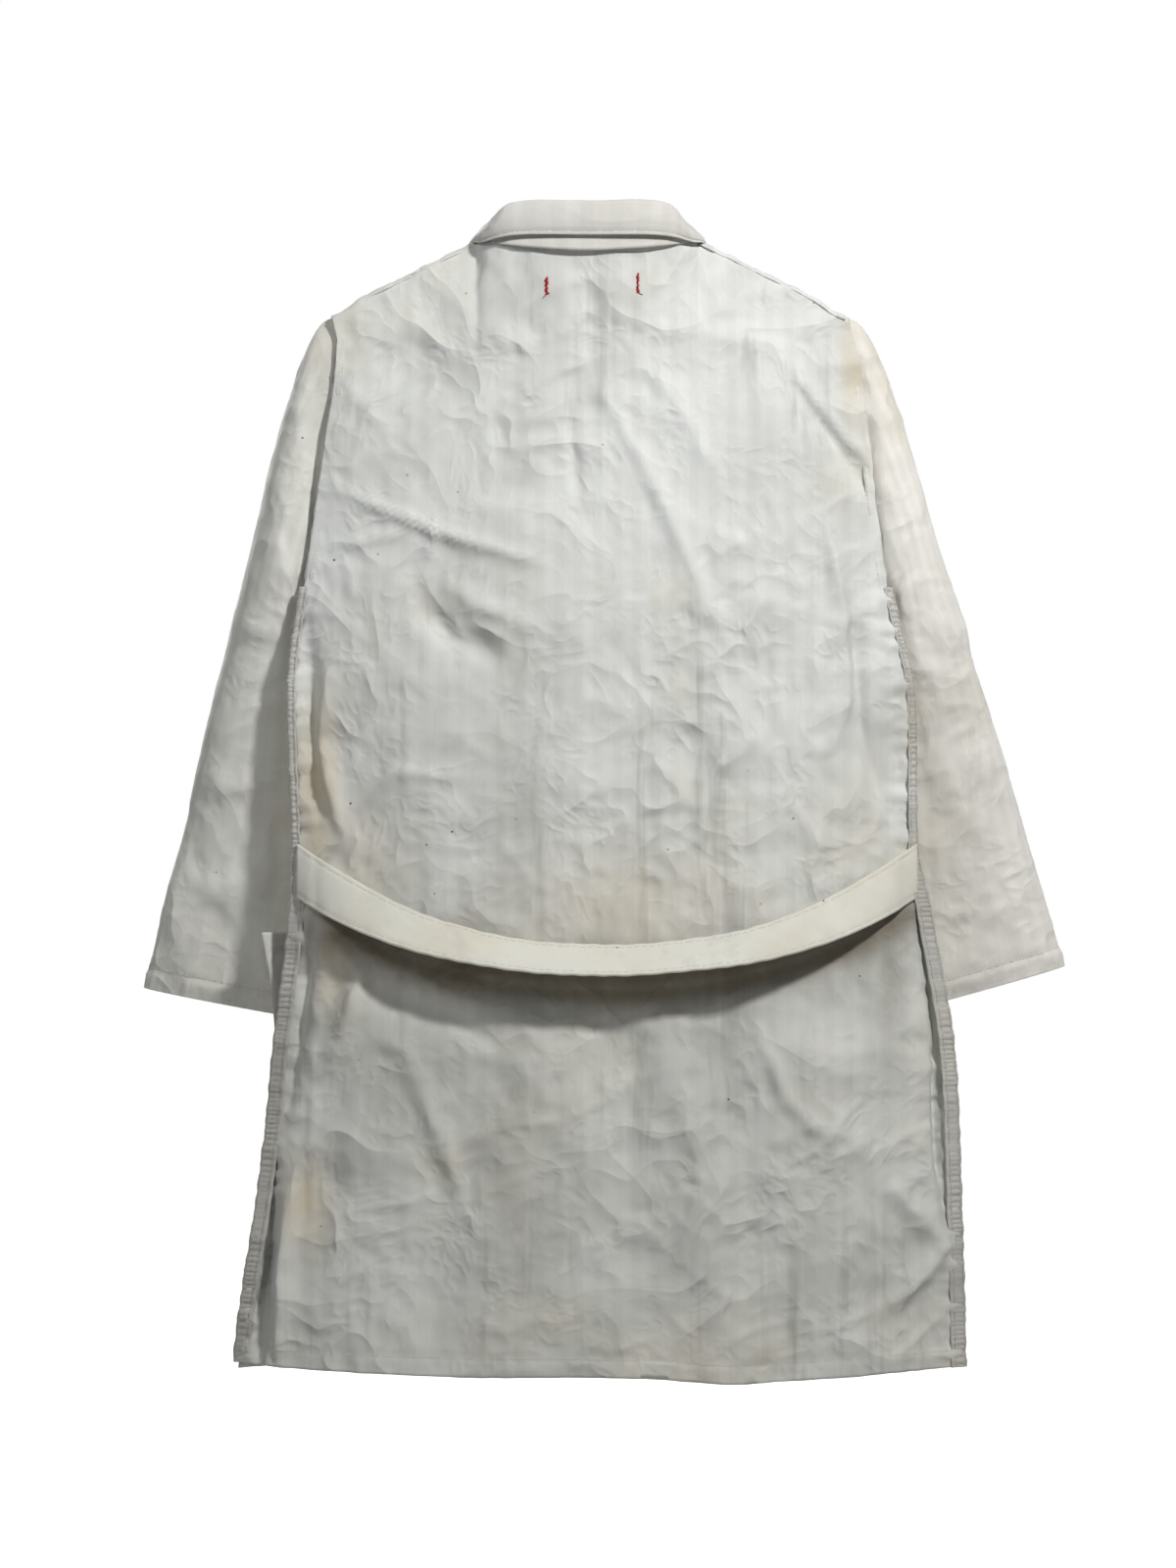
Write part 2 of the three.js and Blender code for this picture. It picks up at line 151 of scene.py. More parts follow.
def from_shoulder(x, z):
    below = np.maximum(shoulder_z(np.maximum(np.abs(x), NECK_HALF)) - z, 0)
    return 1 - (1 - np.minimum(below / 0.170, 1)) ** 2


def seam_y(x, z):
    """The seam plane, leaning to the back near each side."""
    u = across_body(x, z)
    return -SEAM_LEAN[LEFT](z) * (1 - u) ** 6 - SEAM_LEAN[RIGHT](z) * np.clip(u, 0, 1) ** 6


def back_y(x, z):
    body = -BACK_DEPTH(z) * roundness(x, z)
    inside = np.maximum(1 - (x / NECK_HALF) ** 2, 0)
    neck = -NECK_BACK_DEPTH * np.sqrt(inside)
    return mix(neck, body, from_shoulder(x, z)) + seam_y(x, z) - 1.0 * MM


def front_y(x, z):
    body = FRONT_DEPTH(z) * roundness(x, z)
    return mix(0, body, from_shoulder(x, z)) + seam_y(x, z) + 1.0 * MM


def hem_z(x):
    sag = 0.006 * bump(x, 0.138, 0.09)
    kick = 0.005 * np.clip((-0.150 - x) / 0.160, 0, 1)
    return HEM_Z - sag + kick


# ---------------------------------------------------------------- folds and creases
def grain(x, y, z, size, seed=0.0):
    """Smooth noise over points, about -1 to 1, with features of the given size."""
    flat = zip(np.ravel(x), np.ravel(y), np.ravel(z))
    values = [noise.noise(Vector((a / size + seed, b / size, c / size))) for a, b, c in flat]
    return np.array(values).reshape(np.shape(x))


def crease(x, z, path, width, height, crisp=0.0):
    """A ridge, or with a negative height a valley, along a path of (x, z) points."""
    total = sum(math.dist(a, b) for a, b in zip(path, path[1:]))
    best = np.full(np.shape(x), 9.0)
    taper = np.zeros(np.shape(x))
    gone = 0.0
    for (x0, z0), (x1, z1) in zip(path, path[1:]):
        length = math.dist((x0, z0), (x1, z1))
        t = np.clip(((x - x0) * (x1 - x0) + (z - z0) * (z1 - z0)) / length**2, 0, 1)
        away = np.hypot(x - mix(x0, x1, t), z - mix(z0, z1, t))
        share = (gone + t * length) / total
        nearer = away < best
        best = np.where(nearer, away, best)
        taper = np.where(nearer, np.sin(np.pi * np.clip(share, 0.02, 0.98)) ** 0.6, taper)
        gone += length
    soft = np.exp(-((best / width) ** 2))
    sharp = np.exp(-np.sqrt(best**2 + (0.15 * width) ** 2) / (0.55 * width))
    return height * taper * mix(soft, sharp, crisp)


def seam_pucker(z, seed=0.0):
    """The small waves that felled seams draw into the cloth."""
    wander = 0.006 * np.sin(z * 61 + seed) + 0.004 * np.sin(z * 137 + 2 * seed)
    wave = np.sin(2 * np.pi * (z + wander) / 0.026 + seed)
    return wave + 0.5 * np.sin(2 * np.pi * (z - wander) / 0.0155 + 2.1 * seed)


def crumple(x, z, size, seed, sharp=5):
    """Thin raised lines, as where cotton was folded and pressed flat again."""
    lines = np.clip(1 - 1.7 * np.abs(grain(x, 0 * x, z, size, seed)), 0, 1) ** sharp
    return lines * smoothstep(-0.1, 0.35, grain(x, 0 * x, z, 2.6 * size, seed + 40))


def wrinkled(x, z, seed):
    """Cotton that was washed and hung: sharp ridges of three sizes, bent and fading in places."""
    flat = 0 * x
    bent_x = x + 0.014 * grain(x, flat, z, 0.090, seed + 1)
    bent_z = z + 0.014 * grain(x, flat, z, 0.090, seed + 2)
    total = flat
    for size, tall in ((0.080, 6.0 * MM), (0.038, 3.2 * MM), (0.018, 1.2 * MM)):
        ridge = np.abs(grain(bent_x, flat, bent_z, size, seed + 300 * size))
        worn = 0.25 + 0.75 * smoothstep(-0.25, 0.35, grain(x, flat, z, 2.2 * size, seed + 7))
        total = total + tall * worn * (0.35 - ridge)
    return total


def turned(x, z, degrees, stretch=1.0):
    """Coordinates turned in the plane of the cloth and stretched along the turned x."""
    c, s = math.cos(math.radians(degrees)), math.sin(math.radians(degrees))
    return (x * c + z * s) / stretch, z * c - x * s


def hem_relief(above_edge, along, depth=HEM):
    """A turned hem: one layer more below the stitches, which pull the cloth in."""
    layer = 0.0009 * (1 - smoothstep(depth - 0.003, depth + 0.002, above_edge))
    groove = 0.0007 * bump(above_edge, depth - 0.001, 0.0030)
    waves = 0.0006 * bump(above_edge, depth * 0.5, depth * 0.6)
    wander = 0.004 * np.sin(along * 43)
    return layer - groove + waves * np.sin(2 * np.pi * (along + wander) / 0.019)


# ---------------------------------------------------------------- cloth pieces
made = {}                     # the points and normals of each cloth piece, by name


def normals_of(spots, closed=False):
    """Unit normals of a grid of points, rows by columns, from its two directions."""
    if closed:
        wide = np.roll(spots, -1, 1) - np.roll(spots, 1, 1)
        wide[:, 0] = spots[:, 1] - spots[:, -2]
        wide[:, -1] = wide[:, 0]
    else:
        wide = np.gradient(spots, axis=1)
    tall = np.gradient(spots, axis=0)
    normal = np.cross(wide, tall)
    return normal / np.maximum(np.linalg.norm(normal, axis=2, keepdims=True), 1e-12)


def placed(name, data):
    """A new object in the scene."""
    thing = bpy.data.objects.new(name, data)
    bpy.context.scene.collection.objects.link(thing)
    return thing


def finished(name, bm, material, smooth=True):
    """The object made from a bmesh, in one material."""
    mesh = bpy.data.meshes.new(name)
    bm.to_mesh(mesh)
    bm.free()
    if smooth:
        mesh.shade_smooth()
    mesh.materials.append(material)
    return placed(name, mesh)


def grid_mesh(name, columns, rows):
    """A flat grid, with the column and the row of each of its points."""
    bm = bmesh.new()
    bmesh.ops.create_grid(bm, x_segments=columns, y_segments=rows, size=0.5)
    mesh = bpy.data.meshes.new(name)
    bm.to_mesh(mesh)
    bm.free()
    co = points_of(mesh)
    column = np.rint((co[:, 0] + 0.5) * columns).astype(int)
    row = np.rint((co[:, 1] + 0.5) * rows).astype(int)
    return mesh, column, row


def points_of(mesh):
    co = np.zeros(len(mesh.vertices) * 3)
    mesh.vertices.foreach_get("co", co)
    return co.reshape(-1, 3)


def map_weave(mesh, across, along):
    """Gives each point its place in the weave."""
    corner = np.zeros(len(mesh.loops), int)
    mesh.loops.foreach_get("vertex_index", corner)
    pattern = mesh.uv_layers.new(name="cloth")
    pattern.data.foreach_set("uv", np.stack([across[corner], along[corner]], 1).ravel())


def close_tube(mesh):
    """Joins the two ends of a cloth that goes all the way round."""
    bm = bmesh.new()
    bm.from_mesh(mesh)
    bmesh.ops.remove_doubles(bm, verts=bm.verts, dist=0.02 * MM)
    bm.to_mesh(mesh)
    bm.free()


def cloth_piece(name, columns, rows, place, material, relief=None, flat=(1, 1), thick=CLOTH,
                closed=False, flipped=False, upright=False, stains=()):
    """A sheet of cloth laid on place(u, v), raised by relief(u, v, x, y, z), and given its thickness.
    Its weave follows u and v over the flat size, or stands upright in x and z."""
    mesh, column, row = grid_mesh(name, columns, rows)
    u, v = np.meshgrid(np.linspace(0, 1, columns + 1), np.linspace(0, 1, rows + 1))
    if flipped:
        u = 1 - u
    spots = np.stack(place(u, v), axis=2)
    if relief is not None:
        raise_by = relief(u, v, *np.moveaxis(spots, 2, 0))
        if closed:
            raise_by[:, -1] = raise_by[:, 0]
        spots = spots + normals_of(spots, closed) * raise_by[..., None]
    mesh.vertices.foreach_set("co", spots[row, column].ravel())
    if upright:
        map_weave(mesh, spots[row, column, 0], spots[row, column, 2])
    else:
        map_weave(mesh, u[row, column] * flat[0], v[row, column] * flat[1])
    if closed:
        close_tube(mesh)
    paint_stains(mesh, stains)
    mesh.shade_smooth()
    mesh.materials.append(material)
    piece = placed(name, mesh)
    wall = piece.modifiers.new("wall", "SOLIDIFY")
    wall.thickness = thick
    wall.offset = 0
    made[name] = SimpleNamespace(spots=spots, normals=normals_of(spots, closed), flipped=flipped)
    return piece


def paint_stains(mesh, stains):
    """Writes how yellowed and darkened each point is, and the painted shadow of the belt, partly grime.
    Darkened marks are stains, or painted shade along the belt and by the right seam. A mark is (kind,
    x, z, half width, half height, amount)."""
    x, z = points_of(mesh)[:, [0, 2]].T
    for kind in ("yellowed", "darkened", "belt_shadow_grime"):
        amount = np.zeros(len(x))
        for what, at_x, at_z, wide, tall, strength in stains:
            if what == kind:
                amount = np.maximum(amount, strength * bump(x, at_x, wide) * bump(z, at_z, tall))
        painted = mesh.attributes.new(kind, "FLOAT", "POINT")
        painted.data.foreach_set("value", amount.astype(np.float32))


def on_cloth(name, u, v, lift):
    """The point and normal at (u, v) on a cloth piece that is already laid."""
    laid = made[name]
    rows, columns = laid.spots.shape[0] - 1, laid.spots.shape[1] - 1
    if laid.flipped:
        u = 1 - u
    i, j = min(max(u, 0), 1) * columns, min(max(v, 0), 1) * rows
    i0, j0 = min(int(i), columns - 1), min(int(j), rows - 1)
    a, b = i - i0, j - j0
    weights = ((0, 0, (1 - a) * (1 - b)), (0, 1, a * (1 - b)), (1, 0, (1 - a) * b), (1, 1, a * b))
    spot = sum(laid.spots[j0 + dj, i0 + di] * w for dj, di, w in weights)
    normal = sum(laid.normals[j0 + dj, i0 + di] * w for dj, di, w in weights)
    normal = normal / np.linalg.norm(normal)
    return Vector(spot + normal * lift), Vector(normal)


def bead(bm, middle, axes, half_sizes, subdivisions):
    """A bead stretched along three axes."""
    turn = Matrix(axes).transposed().to_4x4()
    size = Matrix.Diagonal((*half_sizes, 1))
    bmesh.ops.create_icosphere(bm, subdivisions=subdivisions, radius=1,
                               matrix=Matrix.Translation(middle) @ turn @ size)


STITCH_HALF = tuple(s * MM for s in (1.25, 0.42, 0.30))     # half length, width and height
ROW_STEPS = 240                                             # points along each straight run


def stitch_beads(name, rows, material):
    """Rows of stitches. Each row is (cloth name, path of (u, v) corners, lift)."""
    bm = bmesh.new()
    for cloth, path, lift in rows:
        line = []
        for (u0, v0), (u1, v1) in zip(path, path[1:]):
            line += [on_cloth(cloth, mix(u0, u1, i / ROW_STEPS), mix(v0, v1, i / ROW_STEPS), lift)
                     for i in range(ROW_STEPS + 1)]
        gone = STITCH_PITCH / 2
        for (a, normal), (b, _) in zip(line, line[1:]):
            gone += (b - a).length
            if gone < STITCH_PITCH:
                continue
            gone -= STITCH_PITCH
            along = (b - a).normalized()
            across = normal.cross(along).normalized()
            bead(bm, b, (along, across, normal), STITCH_HALF, 1)
    return finished(name, bm, material)


# ---------------------------------------------------------------- shader node helpers
def sockets_group(name, inputs, outputs):
    """An empty node group with named float or vector sockets."""
    group = bpy.data.node_groups.new(name, "ShaderNodeTree")
    kinds = {"float": "NodeSocketFloat", "vector": "NodeSocketVector"}
    for label, kind, value in inputs:
        socket = group.interface.new_socket(label, in_out="INPUT", socket_type=kinds[kind])
        if value is not None:
            socket.default_value = value
    for label, kind in outputs:
        group.interface.new_socket(label, in_out="OUTPUT", socket_type=kinds[kind])
    return group, group.nodes.new("NodeGroupInput"), group.nodes.new("NodeGroupOutput")


def feed(tree, socket, value):
    if isinstance(value, bpy.types.NodeSocket):
        tree.links.new(value, socket)
    elif value is not None:
        socket.default_value = value


def math_node(tree, operation, a, b=None, c=None):
    node = tree.nodes.new("ShaderNodeMath")
    node.operation = operation
    for socket, value in zip(node.inputs, (a, b, c)):
        feed(tree, socket, value)
    return node.outputs[0]


def ramp(tree, value, low, high, to_low=0.0, to_high=1.0):
    node = tree.nodes.new("ShaderNodeMapRange")
    node.interpolation_type = "SMOOTHSTEP"
    for socket, given in zip(node.inputs, (value, low, high, to_low, to_high)):
        feed(tree, socket, given)
    return node.outputs[0]


def noise_node(tree, vector, scale, detail=3.0, roughness=0.55, stretch=(1, 1, 1), shift=(0, 0, 0)):
    mapping = tree.nodes.new("ShaderNodeMapping")
    mapping.inputs["Scale"].default_value = stretch
    mapping.inputs["Location"].default_value = shift
    feed(tree, mapping.inputs["Vector"], vector)
    node = tree.nodes.new("ShaderNodeTexNoise")
    node.inputs["Scale"].default_value = scale
    node.inputs["Detail"].default_value = detail
    node.inputs["Roughness"].default_value = roughness
    tree.links.new(mapping.outputs[0], node.inputs["Vector"])
    return node.outputs[0]


def tint(tree, factor, a, b):
    """Colour a, moved towards colour b by the factor."""
    node = tree.nodes.new("ShaderNodeMix")
    node.data_type = "RGBA"
    feed(tree, node.inputs["Factor"], factor)
    feed(tree, node.inputs[6], a)
    feed(tree, node.inputs[7], b)
    return node.outputs[2]


def rgb(red, green, blue):
    """A colour given as display values from 0 to 255."""
    return tuple((c / 255) ** 2.2 for c in (red, green, blue)) + (1.0,)


def weave_group():
    """Herringbone twill: columns of slanted ribs that turn back at each column's edge."""
    group, given, out = sockets_group(
        "herringbone weave",
        [("Vector", "vector", None), ("Column", "float", 0.0085), ("Rib", "float", 0.0016)],
        [("Height", "float"), ("Column Shade", "float"), ("Slub", "float")])
    split = group.nodes.new("ShaderNodeSeparateXYZ")
    group.links.new(given.outputs["Vector"], split.inputs[0])
    x, y = split.outputs[0], split.outputs[1]
    column = math_node(group, "DIVIDE", x, given.outputs["Column"])
    zigzag = math_node(group, "PINGPONG", column, 1.0)
    slant = math_node(group, "MULTIPLY", zigzag, given.outputs["Column"])
    along = math_node(group, "DIVIDE", math_node(group, "ADD", y, slant), given.outputs["Rib"])
    ribs = math_node(group, "SINE", math_node(group, "MULTIPLY", along, 2 * math.pi))
    group.links.new(ribs, out.inputs["Height"])
    parity = math_node(group, "PINGPONG", math_node(group, "MULTIPLY", column, 0.5), 0.5)
    shade = ramp(group, parity, 0.2, 0.3)
    group.links.new(shade, out.inputs["Column Shade"])
    slub = noise_node(group, given.outputs["Vector"], 900.0, 1.0, 0.5, (1.0, 0.16, 1.0))
    group.links.new(slub, out.inputs["Slub"])
    return group


def soil_group():
    """Use and age over the whole coat: grey soil, yellowing, rubbed streaks and dark flecks."""
    group, given, out = sockets_group(
        "soil and age", [("Vector", "vector", None)],
        [("Grey", "float"), ("Yellow", "float"), ("Streaks", "float"), ("Flecks", "float")])
    place = given.outputs["Vector"]
    broad = noise_node(group, place, 4.2, 4.0, 0.55)
    smudge = noise_node(group, place, 13.0, 5.0, 0.62, (1, 1, 0.7), (3.1, 0.4, 1.7))
    grey = math_node(group, "ADD", math_node(group, "MULTIPLY", broad, 0.55),
                     math_node(group, "MULTIPLY", smudge, 0.45))
    group.links.new(ramp(group, grey, 0.40, 0.66), out.inputs["Grey"])
    yellow = noise_node(group, place, 6.0, 5.0, 0.6, (1, 1, 1), (7.3, 2.2, 9.1))
    group.links.new(ramp(group, yellow, 0.50, 0.74), out.inputs["Yellow"])
    streaks = noise_node(group, place, 46.0, 3.0, 0.6, (1, 1, 0.05), (1.3, 0.0, 5.0))
    patches = noise_node(group, place, 7.0, 2.0, 0.5, (1, 1, 0.6), (4.0, 1.0, 2.0))
    rubbed = math_node(group, "MULTIPLY", ramp(group, streaks, 0.52, 0.72),
                       ramp(group, patches, 0.45, 0.62))
    group.links.new(rubbed, out.inputs["Streaks"])
    cells = group.nodes.new("ShaderNodeTexVoronoi")
    cells.inputs["Scale"].default_value = 55.0
    group.links.new(place, cells.inputs["Vector"])
    rare = noise_node(group, place, 31.0, 1.0, 0.5, (1, 1, 1), (2.0, 8.0, 3.0))
    near = ramp(group, cells.outputs["Distance"], 0.035, 0.075, 1.0, 0.0)
    flecks = math_node(group, "MULTIPLY", near, ramp(group, rare, 0.60, 0.66))
    group.links.new(flecks, out.inputs["Flecks"])
    return group


def crumple_group():
    """Height in metres of the fine creases of washed cotton, sharp at their ridges."""
    group, given, out = sockets_group("fine creases", [("Vector", "vector", None)],
                                      [("Height", "float")])
    place = given.outputs["Vector"]
    drift = group.nodes.new("ShaderNodeTexNoise")
    drift.inputs["Scale"].default_value = 9.0
    drift.inputs["Detail"].default_value = 1.0
    group.links.new(place, drift.inputs["Vector"])
    bent = group.nodes.new("ShaderNodeVectorMath")
    bent.operation = "MULTIPLY_ADD"
    bent.inputs[1].default_value = (0.06, 0.06, 0.06)
    group.links.new(drift.outputs["Color"], bent.inputs[0])
    group.links.new(place, bent.inputs[2])
    total = 0.0
    for i, (scale, tall) in enumerate(((11.0, 16 * MM), (26.0, 6 * MM), (62.0, 1.8 * MM))):
        value = noise_node(group, bent.outputs[0], scale, 1.0, 0.4, (1, 1, 1), (1.7 * i, 0.6, 2.3 * i))
        ridge = math_node(group, "ABSOLUTE", math_node(group, "SUBTRACT", value, 0.5))
        worn = noise_node(group, place, 0.45 * scale, 1.0, 0.5, (1, 1, 1), (4.0, 3.1 * i, 1.0))
        share = math_node(group, "MULTIPLY", ramp(group, worn, 0.40, 0.62, 0.15, 1.0), -tall)
        total = math_node(group, "MULTIPLY_ADD", ridge, share, total)
    group.links.new(total, out.inputs["Height"])
    return group


def placed_group(tree, group, **values):
    node = tree.nodes.new("ShaderNodeGroup")
    node.node_tree = group
    for label, value in values.items():
        feed(tree, node.inputs[label], value)
    return node.outputs


def new_material(name, roughness, sheen=0.0):
    material = bpy.data.materials.new(name)
    material.use_nodes = True
    tree = material.node_tree
    shader = tree.nodes["Principled BSDF"]
    shader.inputs["Roughness"].default_value = roughness
    shader.inputs["Sheen Weight"].default_value = sheen
    shader.inputs["Sheen Roughness"].default_value = 0.5
    shader.inputs["Specular IOR Level"].default_value = 0.25
    where = tree.nodes.new("ShaderNodeTexCoord")
    return material, tree, shader, where


WEAVE = weave_group()
SOIL = soil_group()
CREASES = crumple_group()


def raised(tree, shader, height, strength, distance):
    """Lets a height raise the material's surface."""
    relief = tree.nodes.new("ShaderNodeBump")
    relief.inputs["Strength"].default_value = strength
    relief.inputs["Distance"].default_value = distance
    tree.links.new(height, relief.inputs["Height"])
    tree.links.new(relief.outputs[0], shader.inputs["Normal"])


def twill(name, clean, soiled, grey=0.5, yellow=0.5, streaks=0.5, hem_darkening=0.0, creasing=1.4,
          bands=0.045):
    """Herringbone cotton twill. One of its amounts makes it darker towards the hem."""
    material, tree, shader, where = new_material(name, 0.88, 0.12)
    spot = where.outputs["Object"]
    cloth = tree.nodes.new("ShaderNodeUVMap")
    cloth.uv_map = "cloth"
    weave = placed_group(tree, WEAVE, Vector=cloth.outputs[0])
    soil = placed_group(tree, SOIL, Vector=spot)
    height = tree.nodes.new("ShaderNodeSeparateXYZ")
    tree.links.new(spot, height.inputs[0])
    # Darker towards the hem, by the object's height.
    down = ramp(tree, height.outputs[2], -0.15, -0.95, 0.0, hem_darkening)
    greying = math_node(tree, "MULTIPLY_ADD", soil["Grey"], grey, down)
    colour = tint(tree, math_node(tree, "MINIMUM", greying, 1.0), clean, soiled)
    colour = tint(tree, math_node(tree, "MULTIPLY", soil["Yellow"], yellow), colour,
                  rgb(206, 190, 150))
    colour = tint(tree, math_node(tree, "MULTIPLY", soil["Streaks"], streaks), colour,
                  rgb(122, 122, 116))
    colour = tint(tree, math_node(tree, "MULTIPLY", weave["Column Shade"], bands), colour,
                  rgb(120, 120, 116))
    colour = tint(tree, math_node(tree, "MULTIPLY", weave["Slub"], 0.10), colour, rgb(150, 148, 140))
    colour = tint(tree, soil["Flecks"], colour, rgb(58, 44, 30))
    mottle = noise_node(tree, spot, 38.0, 4.0, 0.65)
    facing = tree.nodes.new("ShaderNodeSeparateXYZ")
    tree.links.new(where.outputs["Normal"], facing.inputs[0])
    # Yellowed marks are stains; darkened marks are stains or painted shade; the third colour is the
    # painted shadow of the belt, partly grime.
    marks = (("yellowed", rgb(196, 172, 122)), ("darkened", rgb(92, 82, 60)),
             ("belt_shadow_grime", rgb(84, 66, 24)))
    for kind, shade in marks:
        painted = tree.nodes.new("ShaderNodeAttribute")
        painted.attribute_name = kind
        if kind == "belt_shadow_grime":     # on the outer face of the back only
            spread_by = ramp(tree, facing.outputs[1], 0.1, -0.1)
        else:
            spread_by = ramp(tree, mottle, 0.3, 0.6, 0.6, 1.0)
        patchy = math_node(tree, "MULTIPLY", painted.outputs["Fac"], spread_by)
        colour = tint(tree, patchy, colour, shade)
    tree.links.new(colour, shader.inputs["Base Color"])
    fuzz = noise_node(tree, spot, 420.0, 2.0, 0.6)
    surface = math_node(tree, "MULTIPLY", weave["Height"], 0.035 * MM)
    surface = math_node(tree, "MULTIPLY_ADD", fuzz, 0.12 * MM, surface)
    fine = placed_group(tree, CREASES, Vector=spot)["Height"]
    surface = math_node(tree, "MULTIPLY_ADD", fine, creasing, surface)
    raised(tree, shader, surface, 1.0, 1.0)
    tree.links.new(ramp(tree, fuzz, 0.3, 0.7, 0.82, 0.95), shader.inputs["Roughness"])
    return material


def thread(name, colour, dark):
    """Sewing thread: a twisted sheen, with painted shade in the gaps between the plies, where the twist
    is low.
    """
    material, tree, shader, where = new_material(name, 0.55, 0.2)
    twist = noise_node(tree, where.outputs["Object"], 1500.0, 2.0, 0.6)
    tree.links.new(tint(tree, twist, dark, colour), shader.inputs["Base Color"])
    raised(tree, shader, twist, 0.4, 0.15 * MM)
    return material


def tape(name):
    """Plain-woven cotton tape."""
    material, tree, shader, where = new_material(name, 0.85, 0.15)
    cloth = tree.nodes.new("ShaderNodeUVMap")
    cloth.uv_map = "cloth"
    weave = placed_group(tree, WEAVE, Vector=cloth.outputs[0], Column=0.0012, Rib=0.0008)
    soil = placed_group(tree, SOIL, Vector=where.outputs["Object"])
    colour = tint(tree, math_node(tree, "MULTIPLY", soil["Yellow"], 0.4), rgb(226, 222, 210),
                  rgb(205, 192, 158))
    colour = tint(tree, math_node(tree, "MULTIPLY", weave["Column Shade"], 0.15), colour,
                  rgb(180, 174, 160))
    tree.links.new(colour, shader.inputs["Base Color"])
    raised(tree, shader, weave["Height"], 0.4, 0.2 * MM)
    return material


def button_resin():
    """Ivory moulded resin with faint clouding and rubbed edges."""
    material, tree, shader, where = new_material("ivory resin", 0.32)
    shader.inputs["Coat Weight"].default_value = 0.3
    cloud = noise_node(tree, where.outputs["Object"], 220.0, 3.0, 0.6)
    scuff = noise_node(tree, where.outputs["Object"], 1400.0, 3.0, 0.7)
    colour = tint(tree, cloud, rgb(205, 194, 164), rgb(232, 224, 202))
    tree.links.new(colour, shader.inputs["Base Color"])
    tree.links.new(ramp(tree, scuff, 0.35, 0.7, 0.25, 0.5), shader.inputs["Roughness"])
    return material


BODY_TWILL = twill("body twill", rgb(225, 227, 224), rgb(168, 167, 158), 0.34, 0.24, 0.38, 0.42,
                   creasing=1.8)
# The left sleeve's colour is lifted as painted light, standing in for fill light on its shaded side;
# the two sleeves also differ in soil and yellowing.
SLEEVE_TWILL = {
    LEFT: twill("left sleeve twill", rgb(232, 232, 225), rgb(184, 183, 175), 0.45, 0.25, 0.20, 0.25),
    RIGHT: twill("right sleeve twill", rgb(238, 236, 230), rgb(200, 196, 186), 0.40, 0.35, 0.12, 0.20),
}
FRONT_TWILL = twill("front twill", rgb(220, 219, 214), rgb(170, 168, 160), 0.45, 0.40, 0.35, 0.45)
COLLAR_TWILL = twill("collar twill", rgb(222, 221, 216), rgb(178, 175, 166), 0.40, 0.30, 0.15,
                     creasing=0.35)
BELT_TWILL = twill("belt twill", rgb(220, 219, 209), rgb(180, 178, 166), 0.40, 0.30, 0.12,
                   creasing=0.45, bands=0.0)
SEAM_TWILL = twill("seam twill", rgb(200, 199, 194), rgb(146, 144, 137), 0.50, 0.20, 0.15, 0.35)
CREAM_THREAD = thread("cream thread", rgb(226, 221, 205), rgb(176, 168, 148))
DULL_THREAD = thread("soiled thread", rgb(176, 170, 154), rgb(122, 115, 98))
RED_THREAD = thread("red thread", rgb(196, 22, 44), rgb(120, 8, 22))
COTTON_TAPE = tape("cotton tape")
RESIN = button_resin()


# ---------------------------------------------------------------- how a piece is held
# Each front turns from the fixed chest above to the swinging panel below.
FRONT_TURN = {side: (("coat_body", f"front_{side}_body"), (OUTWARD[side] * 0.256, 0, -0.100),
                     (OUTWARD[side] * 0.256, 0, -0.262)) for side in (LEFT, RIGHT)}
SLEEVE_SLANT = Vector((0.785, 0, -0.62))
SLEEVE_TURN_AT = {LEFT: Vector((-0.285, 0.030, -0.298)), RIGHT: Vector((0.303, 0.030, -0.300))}


def sleeve_turn(side):
    """Where a sleeve begins to follow its own body, and where it follows it fully."""
    along = Vector((OUTWARD[side] * SLEEVE_SLANT.x, 0, SLEEVE_SLANT.z))
    middle = SLEEVE_TURN_AT[side]
    return (("coat_body", f"sleeve_{side}_body"), tuple(middle - along * 0.030),
            tuple(middle + along * 0.070))


BELT_TURN = (("coat_body", "back_belt_body"), (0, -0.018, -0.560), (0, -0.065, -0.560))


def held(piece, by, nodes=()):
    """Ties a piece to one body by name; given one of the turns above, it only bakes the piece in place.
    """
    if isinstance(by, str):
        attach(piece, by)
    else:
        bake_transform(piece)
    if nodes:
        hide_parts(*nodes)


def lay(name, columns, rows, place, material, by, nodes=(), relief=None, flat=(1, 1), finish="twill",
        rests_on=(), area=None, how="hung", **shape):
    """Makes a sheet of cloth and ties it to its body, or bakes it in place when given a turn."""
    piece = cloth_piece(name, columns, rows, place, material, relief, flat, **shape)
    held(piece, by, nodes)


def sewn(name, rows, by, material=CREAM_THREAD):
    """Rows of stitches, tied to a body by name, or baked in place when given a turn."""
    held(stitch_beads(name, rows, material), by)


def recolour(name, material):
    """Gives a carried CAD piece its material."""
    for material_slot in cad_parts[name].material_slots:
        material_slot.material = material


